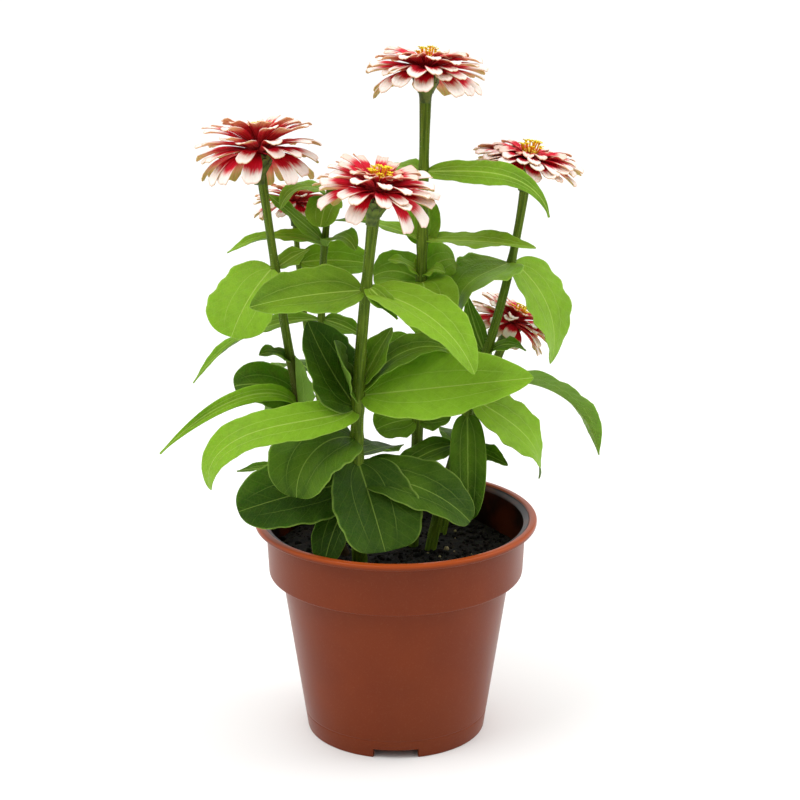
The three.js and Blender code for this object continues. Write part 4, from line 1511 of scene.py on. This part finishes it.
# Where a leaf's green is given, it is partly its age and partly painted shade on leaves that lie in shade,
# painted light on lit ones.
STEMS = (
    LeafyStem(
        name="stem_front",
        path=((-18, -20, 84), (-23, -27, 170), (-19, -33, 215), (-9.5, -38, 299)),
        radii=(4.2, 2.6),
        bloom=Bloom("front", -15, 9, 30, 0, stack=0.95, rows=LOOSE_SKIRT + CROWN),
        leaves=(
            Leaf(0.33, -62, -50, 6, 50, 49, BLUNT, tone=0.05),
            Leaf(0.34, 60, -5, 5, 35, 28, BROAD, tone=0.1),
            Leaf(0.27, -165, -5, 10, 62, 42, BROAD, roll=-38, fold=10, tone=0.15),
            Leaf(0.29, -5, -5, 45, 64, 34, BROAD, bend=1.5, roll=30, tone=0.15),
            Leaf(0.25, -125, -30, 40, 43, 22, BROAD, roll=-10, tone=0.05),
            Leaf(0.39, -145, 25, 120, 52, 44, BROAD, roll=-20, fold=10, tone=0.25),
            Leaf(0.47, -131, 2, 114, 101, 24, BROAD, bend=3.6, sweep=-58, roll=-32, fold=6, tone=0.95),
            Leaf(0.51, -10, 9, 0, 89, 42, roll=40, fold=12, tone=0.85),
            Leaf(0.48, -170, 55, -15, 52, 38, roll=-50, fold=12, tone=0.1),
            Leaf(0.5, -130, 60, -10, 38, 26, roll=-50, tone=0.2),
            Leaf(0.54, 20, 62, 5, 33, 18, roll=20),
            Leaf(0.52, 10, 55, 95, 61, 20, bend=1.5, roll=20),
            Leaf(0.79, -165, 0, 12, 58, 36, bend=1.5, roll=-28, tone=0.5),
            Leaf(0.79, -30, -6, 60, 73, 32, bend=1.5, roll=14, tone=0.9),
            Leaf(0.8, -50, -20, 20, 25, 12, LANCE, sweep=5, roll=20),
        ),
    ),
    LeafyStem(
        name="stem_left",
        path=((-22, -4, 84), (-50, 0, 150), (-58, -2, 225), (-69, -4, 313)),
        radii=(3.0, 2.1),
        bloom=Bloom("left", 95, 9, 31, 16, stack=1.1),
        brown=0.8,
        leaves=(
            Leaf(0.77, -158, -40, 18, 42, 44, BROAD, bend=0.7, sweep=33, roll=-14, fold=7, tone=0.95),
            Leaf(0.77, 30, 30, 15, 20, 14, LANCE, roll=20),
            Leaf(0.56, -150, 50, 60, 19, 13, roll=-20, fold=24),
            Leaf(0.45, -133, 79, 109, 103, 10, LANCE, bend=0.37, roll=-58, fold=26, tone=0.9),
            Leaf(0.46, -175, 50, 65, 36, 26, BROAD, roll=-50),
            Leaf(0.44, -100, 62, -25, 34, 30, BROAD, roll=-60),
            Leaf(0.42, 118, 15, 60, 40, 22),
            Leaf(0.3, -175, 5, 12, 40, 13, LANCE, roll=-10, fold=20),
        ),
    ),
    LeafyStem(
        name="stem_tall",
        path=((8, 10, 84), (13, 14, 170), (13, 12, 250), (15.5, 10, 352)),
        radii=(3.4, 2.5),
        bloom=Bloom("tall", 75, 8, 30, -4, stack=0.72),
        leaves=(
            Leaf(0.83, -36, 7, 88, 80, 16, LANCE, bend=3.3, sweep=10, roll=38, fold=6),
            Leaf(0.83, 160, 15, 50, 28, 17, LANCE, roll=-10),
            Leaf(0.7, 165, 25, 30, 47, 15, LANCE, roll=-5, fold=18),
            Leaf(0.7, 0, 1, 3, 59, 19, sweep=-30, roll=12),
            Leaf(0.69, 90, 60, 10, 26, 20, BROAD),
            Leaf(0.62, 150, 30, 65, 29, 24, BROAD, roll=-50),
            Leaf(0.63, -165, 60, 60, 20, 11, roll=-20),
            Leaf(0.62, 40, 60, 80, 25, 22, BROAD, roll=50),
            Leaf(0.63, -30, 55, 80, 14, 10, roll=20),
            Leaf(0.62, -80, 0, 88, 40, 34, roll=10),
            Leaf(0.48, 175, 5, 40, 36, 20, roll=-50),
            Leaf(0.44, 95, 20, 75, 52, 26),
            Leaf(0.33, -165, 5, 30, 22, 24, BROAD, roll=-40),
            Leaf(0.33, -15, 15, 10, 17, 18, BROAD, roll=40),
        ),
    ),
    LeafyStem(
        name="stem_right",
        path=((16, 2, 84), (28, 14, 160), (60, 18, 215), (68, 18, 305)),
        radii=(3.2, 2.1),
        bloom=Bloom("right", 10, 10, 28, -20, stack=0.5),
        leaves=(
            Leaf(0.79, -137, -10, 122, 44, 50, bend=3, sweep=-34, fold=10),
            Leaf(0.79, -14, -37, 68, 61, 41, bend=1.1, sweep=11, roll=20, fold=7, tone=0.8),
            Leaf(0.57, 140, 60, -15, 33, 11, LANCE, roll=-60),
            Leaf(0.57, -15, 52, 88, 22, 11, LANCE, roll=20),
            Leaf(0.41, -90, -35, 50, 58, 20, BROAD),
            Leaf(0.45, -16, -29, 72, 60, 39, bend=2.2, sweep=35, roll=21, fold=6, tone=0.85),
            Leaf(0.53, 125, 0, 60, 38, 22),
            Leaf(0.33, -20, -10, 15, 28, 15, roll=15),
            Leaf(0.33, -146, 5, 40, 42, 18, roll=-20),
        ),
    ),
    LeafyStem(
        name="shoot_young",
        path=((-10, 16, 84), (-40, 30, 140), (-46, 32, 205), (-33, 26, 296)),
        radii=(2.6, 1.8),
        leaves=(
            Leaf(0.96, -160, 55, 130, 32, 15, roll=-10),
            Leaf(0.96, -105, -20, 40, 20, 20, BROAD),
            Leaf(0.97, 20, 45, 50, 22, 11),
            Leaf(0.86, -170, 25, 55, 52, 17, LANCE, roll=-8, fold=18),
            Leaf(0.86, -45, 60, 115, 26, 16, roll=10),
            Leaf(0.87, -170, 42, 0, 38, 11, roll=-40),
            Leaf(0.5, 60, 20, 75, 44, 20),
            Leaf(0.69, -170, 5, 60, 78, 15, LANCE, roll=-10, fold=22),
            Leaf(0.69, -10, -10, 25, 24, 13, LANCE, roll=30, fold=18),
        ),
    ),
    LeafyStem(
        name="stem_back_left",
        path=((-14, 34, 84), (-44, 48, 150), (-52, 52, 220), (-54, 50, 276)),
        radii=(2.4, 1.4),
        bloom=Bloom("small", 80, 8, 21, 0, scale=0.75),
        leaves=(
            Leaf(0.82, -5, 10, 20, 37, 22, BROAD, roll=50),
            Leaf(0.5, 132, 20, 75, 38, 20),
        ),
    ),
    LeafyStem(
        name="stem_back_right",
        path=((22, 24, 84), (30, 42, 130), (48, 46, 175), (62, 45, 211)),
        radii=(3.0, 2.3),
        bloom=Bloom("low", 10, 28, 24, 0, scale=0.85, stack=0.9),
        leaves=(
            Leaf(0.72, 10, 8, 88, 87, 30, LANCE, sweep=10, roll=-21, fold=20, tone=1.1),
            Leaf(0.72, 160, 15, 60, 29, 20, roll=-10),
            Leaf(0.45, 100, 30, 100, 40, 22),
        ),
    ),
)


@dataclass
class Pot:
    """Round tapered pot: lip, collar band, wall, notched foot ring, raised base with drain holes."""

    rim_radius: float = 75.0
    height: float = 119.0
    lip_height: float = 3.0
    lip_inner_radius: float = 70.8
    lip_slope_depth: float = 2.4
    band_top_radius: float = 69.0
    band_foot_radius: float = 67.7
    band_foot_height: float = 88.6
    body_top_radius: float = 61.0
    foot_radius: float = 48.0
    ring_width: float = 3.0
    base_height: float = 4.0
    wall: float = 1.4
    crease_height: float = 10.0
    columns: int = 192
    notch_count: int = 3
    notch_width: float = 24.0
    notch_height: float = 5.0
    drain_count: int = 4
    drain_radius: float = 4.0
    drain_ring_radius: float = 27.0
    inner_rows: int = 32
    foot_rows: int = 8

    def wall_radius(self, height: Array) -> Array:
        """Outer radius of the tapered wall at a height."""
        share = (height - 1) / (self.band_foot_height - 1)
        return self.foot_radius + (self.body_top_radius - self.foot_radius) * share

    def profile(self) -> Array:
        """Radius and height down the inside of the foot ring, up the outside and down the inside.

        Each corner is rounded by a quadratic curve between the points a given distance before and
        after it.

        Returns:
            Points of the half-section, from the base plate's lower edge to its upper edge.
        """
        inside = self.foot_radius - self.ring_width
        crease = self.crease_height
        top = self.height - self.lip_height
        inner_top = self.band_top_radius - self.wall
        inner_foot = self.band_foot_radius - self.wall
        corners = [
            (inside, self.base_height, 0.0),
            (inside + 0.4, 0.0, 0.3),
            (self.foot_radius - 0.15, 0.0, 0.5),
            (self.wall_radius(crease - 0.6), crease - 0.6, 0.3),
            (self.wall_radius(crease) - 0.25, crease, 0.3),
            (self.wall_radius(crease + 0.6), crease + 0.6, 0.3),
            (self.body_top_radius, self.band_foot_height, 0.4),
            (self.band_foot_radius - 0.2, self.band_foot_height, 0.9),
            (self.band_foot_radius, self.band_foot_height + 1.6, 0.5),
            (self.band_top_radius, top, 0.5),
            (self.rim_radius - 0.2, top - 0.3, 1.0),
            (self.rim_radius, self.height - 0.2, 1.5),
            (self.lip_inner_radius + 0.3, self.height, 1.2),
            (self.lip_inner_radius - 0.2, self.height - 1.2, 0.5),
            (inner_top, self.height - self.lip_slope_depth, 0.6),
            (inner_foot, self.band_foot_height + self.wall + 1, 0.8),
            (self.body_top_radius - self.wall, self.band_foot_height - 3, 0.8),
            (self.foot_radius - self.wall, self.base_height + self.wall, 2.0),
            (inside, self.base_height + self.wall, 0.0),
        ]
        points = [np.array([corners[0][:2]])]
        for before, corner, after in zip(corners, corners[1:], corners[2:]):
            here = np.array(corner[:2])
            start = here + unit(np.array(before[:2]) - here) * corner[2]
            end = here + unit(np.array(after[:2]) - here) * corner[2]
            t = np.linspace(0, 1, 6)[:, None]
            points.append((1 - t) ** 2 * start + 2 * (1 - t) * t * here + t**2 * end)
        points.append(np.array([corners[-1][:2]]))
        return np.concatenate(points)

    def angles(self) -> Array:
        """Even angles round the pot, with two close ones at each edge of each notch.

        Returns:
            Angles in radians, in rising order.
        """
        even = np.linspace(0, 360, self.columns, endpoint=False)
        edge = math.degrees(math.asin(self.notch_width / 2 / self.foot_radius))
        middles = -90 + 360 / self.notch_count * np.arange(self.notch_count)
        steps = np.array([-edge - 0.04, -edge + 0.04, edge - 0.04, edge + 0.04])
        cuts = (middles[:, None] + steps).reshape(-1) % 360
        near = np.abs((even[:, None] - cuts[None] + 180) % 360 - 180).min(axis=1) < 0.5
        multiples = np.isclose(even % 90, 0)
        return np.radians(np.sort(np.concatenate([even[~near | multiples], cuts])))

    def turned(self) -> Patch:
        """Profile turned about Z. Inside a notch, what is lower than its ceiling is raised to it.

        Returns:
            The turned surface with the mark pot, open at the base.
        """
        profile = self.profile()
        angle = self.angles()
        radius = np.repeat(profile[:, :1], len(angle), axis=1)
        height = np.repeat(profile[:, 1:], len(angle), axis=1)
        edge = math.asin(self.notch_width / 2 / self.foot_radius)
        middles = np.radians(-90 + 360 / self.notch_count * np.arange(self.notch_count))
        off = (angle[:, None] - middles[None] + np.pi) % (2 * np.pi) - np.pi
        in_notch = (np.abs(off) < edge).any(axis=1)[None]
        row = np.arange(len(profile))[:, None]
        outside = (row > 0) & (row < len(profile) - self.foot_rows)
        cut = in_notch & (height < self.notch_height) & outside
        outer = cut & (radius > self.foot_radius - 1.2)
        height = np.where(cut, self.notch_height, height)
        radius = np.where(outer, self.wall_radius(self.notch_height), radius)
        points = round_z(radius, angle, height)
        quads = grid_quads(len(profile), len(angle), around=True)
        lip = len(profile) - 1 - self.inner_rows
        inside = smooth(0, 4, row - lip) * np.ones_like(radius)
        marks = {"pot": triple(inside.reshape(-1), 0, 0)}
        return Patch(points.reshape(-1, 3), [quads[:, ::-1]], marks)

    def base_sector(self, number: int) -> Patch:
        """Sector of the base plate round one drain hole.

        Each point of the sector's border is joined to the hole's edge in a straight line towards the
        hole's middle. The upper and lower sides are alike, and a wall joins them in the hole.

        Args:
            number: Which sector.

        Returns:
            The sector, open where it meets its neighbours.
        """
        inside = self.foot_radius - self.ring_width
        start = number * np.pi / 2
        angle = self.angles()
        full = np.concatenate([angle, angle[:1] + 2 * np.pi])
        arc = full[(full > start - 1e-9) & (full < start + np.pi / 2 + 1e-9)]
        rim = inside * np.stack([np.cos(arc), np.sin(arc)], axis=-1)
        radii = np.linspace(inside, 0, 9)[1:, None]
        fall = radii * np.array([[math.cos(start + np.pi / 2), math.sin(start + np.pi / 2)]])
        climb = radii[-2::-1] * np.array([[math.cos(start), math.sin(start)]])
        border = np.concatenate([rim, fall, climb])
        middle = self.drain_ring_radius * np.array([math.cos(start + np.pi / 4), math.sin(start + np.pi / 4)])
        hole = middle + unit(border - middle) * self.drain_radius
        t = np.linspace(0, 1, 6)[:, None, None]
        flat = border[None] * (1 - t) + hole[None] * t
        low = np.concatenate([flat, np.full(flat.shape[:2] + (1,), self.base_height)], axis=-1)
        high = np.concatenate([flat, np.full(flat.shape[:2] + (1,), self.base_height + self.wall)], axis=-1)
        sheet = np.concatenate([high, low[::-1]])
        quads = grid_quads(len(sheet), len(border), around=True)
        upper = (np.arange(len(sheet)) < len(flat))[:, None] * np.ones(len(border))
        marks = {"pot": triple(upper.reshape(-1), 0, 0)}
        return Patch(sheet.reshape(-1, 3), [quads], marks)

    def build(self) -> None:
        """Builds the pot as one closed mesh."""
        patches = [self.turned()] + [self.base_sector(k) for k in range(self.drain_count)]
        piece = mesh_object("pot_look", welded(merged(patches)), PotPlastic().material(), crease=50)
        dressed(piece, "pot")
        LOG.info("%s: %d faces", piece.name, len(piece.data.polygons))


@dataclass
class Soil:
    """Potting mix that fills the pot, with a rough top and loose crumbs on it."""

    top: float = 98.0
    side: tuple[tuple[float, float], ...] = (
        (45.1, 5.7),
        (46.6, 7.3),
        (58.9, 85.4),
        (65.2, 91.6),
        (65.4, 96.0),
    )
    crumbs: int = 900
    crumb_reach: float = 64.0
    columns: int = 240
    rows: int = 96

    def height(self, x: Array, y: Array) -> Array:
        """Height of the top at a place: four octaves of noise, from lumps to grains.

        Args:
            x: Places along X, in millimetres.
            y: Places along Y, in millimetres.

        Returns:
            Heights, in millimetres.
        """
        flat = triple(x, y, 0.0)
        rough = 1.1 * value_noise(flat, 17.0, 3) + 0.8 * value_noise(flat, 6.0, 5)
        rough = rough + 0.55 * np.abs(value_noise(flat, 2.6, 7)) + 0.3 * np.abs(value_noise(flat, 1.2, 9))
        share = np.hypot(x, y) / self.side[-1][0]
        return self.top - 0.8 * share + rough

    def heap(self) -> Patch:
        """Closed body of the mix: its top as a fine polar grid, its side and bottom as rings.

        Returns:
            The heap with the mark crumb.
        """
        angle = np.linspace(0, 2 * np.pi, self.columns, endpoint=False)
        share = np.linspace(0.012, 1, self.rows)[:, None]
        radius = share * self.side[-1][0]
        x, y = radius * np.cos(angle), radius * np.sin(angle)
        wall = np.array(self.side[::-1])
        rings = round_z(wall[:, :1], angle, wall[:, 1:])
        whole = np.concatenate([triple(x, y, self.height(x, y)), rings])[None]
        summit = np.array([[0.0, 0.0, float(self.height(np.zeros(1), np.zeros(1))[0])]])
        pit = np.array([[0.0, 0.0, self.side[0][1]]])
        patch = shells(whole[:, ::-1], pit, summit)
        patch.marks = {"crumb": np.zeros_like(patch.points)}
        return patch

    def loose(self) -> Patch:
        """Crumbs: small dented balls of a few dozen faces, a few of them pale.

        Returns:
            The crumbs with the mark crumb.
        """
        k = np.arange(self.crumbs)
        angle = np.pi * scatter(k, 31)
        radius = self.crumb_reach * np.sqrt(scatter(k, 32) * 0.5 + 0.5)
        size = 0.6 + 1.1 * (scatter(k, 33) * 0.5 + 0.5) ** 3
        x, y = radius * np.cos(angle), radius * np.sin(angle)
        center = triple(x, y, self.height(x, y) + 0.25 * size)
        turn = np.arange(7) * 2 * np.pi / 7
        level = np.linspace(0.18, 0.82, 4)[:, None] * np.pi
        ball = round_z(np.sin(level), turn, -np.cos(level))
        stretch = 1 + 0.35 * triple(scatter(k, 34), scatter(k, 35), scatter(k, 36))
        corners = ball.shape[0] * ball.shape[1]
        number = np.arange(corners).reshape(ball.shape[:2])
        dent = 1 + 0.16 * scatter(k[:, None, None] * 31 + number[None], 37)
        rings = ball[None] * dent[..., None] * (size[:, None] * stretch)[:, None, None]
        pole = triple(0, 0, size * stretch[:, 2])
        patch = shells(rings + center[:, None, None], center - pole, center + pole)
        pale = np.where(scatter(k, 38) > 0.93, 0.8, 0.0)
        patch.marks = {"crumb": triple(np.repeat(pale, corners + 2), 0, 0)}
        return patch

    def build(self) -> None:
        """Builds the potting mix with its crumbs."""
        piece = mesh_object("soil_look", merged([self.heap(), self.loose()]), PottingMix().material())
        dressed(piece, "soil")
        LOG.info("%s: %d faces", piece.name, len(piece.data.polygons))


@dataclass
class Studio:
    """Pale floor, soft lights and the camera.

    The surroundings shine bright from above and from behind the plant, and dim from its front:
    overhead and behind are the shares of up and of +Y in a direction, over which they change.
    """

    floor_side: float = 24.0
    camera_at: Point = (0.0022, -1.1, 0.519)
    camera_pitch: float = 17.0
    lens: float = 99.0
    sensor: float = 36.0
    bright: float = 1.25
    dim: float = 0.3
    overhead: tuple[float, float] = (0.25, 0.85)
    behind: tuple[float, float] = (-0.75, 0.15)

    def floor(self) -> None:
        """Lays a flat square floor as a grid of points."""
        line = np.linspace(-1, 1, 9) * self.floor_side / 2 / MM
        x, y = np.meshgrid(line, line, indexing="ij")
        points = triple(x, y, 0).reshape(-1, 3)
        quads = grid_quads(len(line), len(line))
        floor = mesh_object("floor", Patch(points, [quads]), FloorPaint().material())

    def lamp(self, name: str, at: Point, aim: Point, side: float, power: float) -> None:
        """Hangs a square soft light at a place, turned towards another.

        Args:
            name: Name of the light.
            at: Its place, in metres.
            aim: Where it points, in metres.
            side: Its side, in metres.
            power: Its power, in watts.
        """
        light = bpy.data.lights.new(name, "AREA")
        light.size = side
        light.energy = power
        holder = bpy.data.objects.new(name, light)
        bpy.context.scene.collection.objects.link(holder)
        holder.location = at
        way = Vector(aim) - Vector(at)
        holder.rotation_euler = way.to_track_quat("-Z", "Y").to_euler()

    def ramp(self, tree: bpy.types.NodeTree, value: Socket, span: tuple[float, float]) -> Socket:
        """Smooth step of a value, from 0 at the start of a span to 1 at its end.

        Args:
            tree: Node tree of the surroundings.
            value: Socket that gives the value.
            span: Start and end of the step.

        Returns:
            Socket that gives the step.
        """
        node = tree.nodes.new("ShaderNodeMapRange")
        node.interpolation_type = "SMOOTHSTEP"
        node.inputs["From Min"].default_value, node.inputs["From Max"].default_value = span
        tree.links.new(value, node.inputs["Value"])
        return node.outputs[0]

    def lights(self) -> None:
        """Hangs the two lamps and sets the light of the surroundings."""
        self.lamp("light_key", (-0.7, -0.5, 1.5), (0, 0, 0.2), 0.8, 9)
        self.lamp("light_right", (1.0, 0.1, 1.1), (0, 0, 0.15), 0.8, 5)
        world = bpy.data.worlds.new("surroundings")
        world.use_nodes = True
        tree = world.node_tree
        way = tree.nodes.new("ShaderNodeTexCoord").outputs["Generated"]
        split = tree.nodes.new("ShaderNodeSeparateXYZ")
        tree.links.new(way, split.inputs[0])
        share = tree.nodes.new("ShaderNodeMath")
        share.operation = "MAXIMUM"
        tree.links.new(self.ramp(tree, split.outputs[2], self.overhead), share.inputs[0])
        tree.links.new(self.ramp(tree, split.outputs[1], self.behind), share.inputs[1])
        power = tree.nodes.new("ShaderNodeMapRange")
        power.inputs["To Min"].default_value = self.dim
        power.inputs["To Max"].default_value = self.bright
        tree.links.new(share.outputs[0], power.inputs["Value"])
        tree.links.new(power.outputs[0], tree.nodes["Background"].inputs["Strength"])
        tree.nodes["Background"].inputs["Color"].default_value = (1.0, 1.0, 1.0, 1.0)
        bpy.context.scene.world = world

    def camera(self) -> None:
        """Sets the camera where the photograph was taken from."""
        data = bpy.data.cameras.new("camera")
        data.lens = self.lens
        data.sensor_width = self.sensor
        data.clip_start = 0.02
        data.clip_end = 60.0
        camera = bpy.data.objects.new("camera", data)
        bpy.context.scene.collection.objects.link(camera)
        camera.location = self.camera_at
        camera.rotation_euler = (math.radians(90 - self.camera_pitch), 0, 0)
        bpy.context.scene.camera = camera

    def build(self) -> None:
        """Sets up the studio."""
        self.floor()
        self.lights()
        self.camera()
        bpy.context.scene.view_settings.view_transform = "Standard"


def main() -> None:
    """Builds the studio, the pot, its soil and each leafy stem with its bloom."""
    logging.basicConfig(level=logging.INFO, format="%(message)s")
    Studio().build()
    Pot().build()
    Soil().build()
    finishes = Finishes(
        leaf=LeafSkin().material(),
        stalk=StalkSkin().material(),
        bract=BractSkin().material(),
        hair=HairSkin().material(),
        petal=PetalSkin().material(),
        floret=FloretSkin().material(),
    )
    for stem in STEMS:
        stem.build(finishes)


if __name__ == "__main__":
    main()
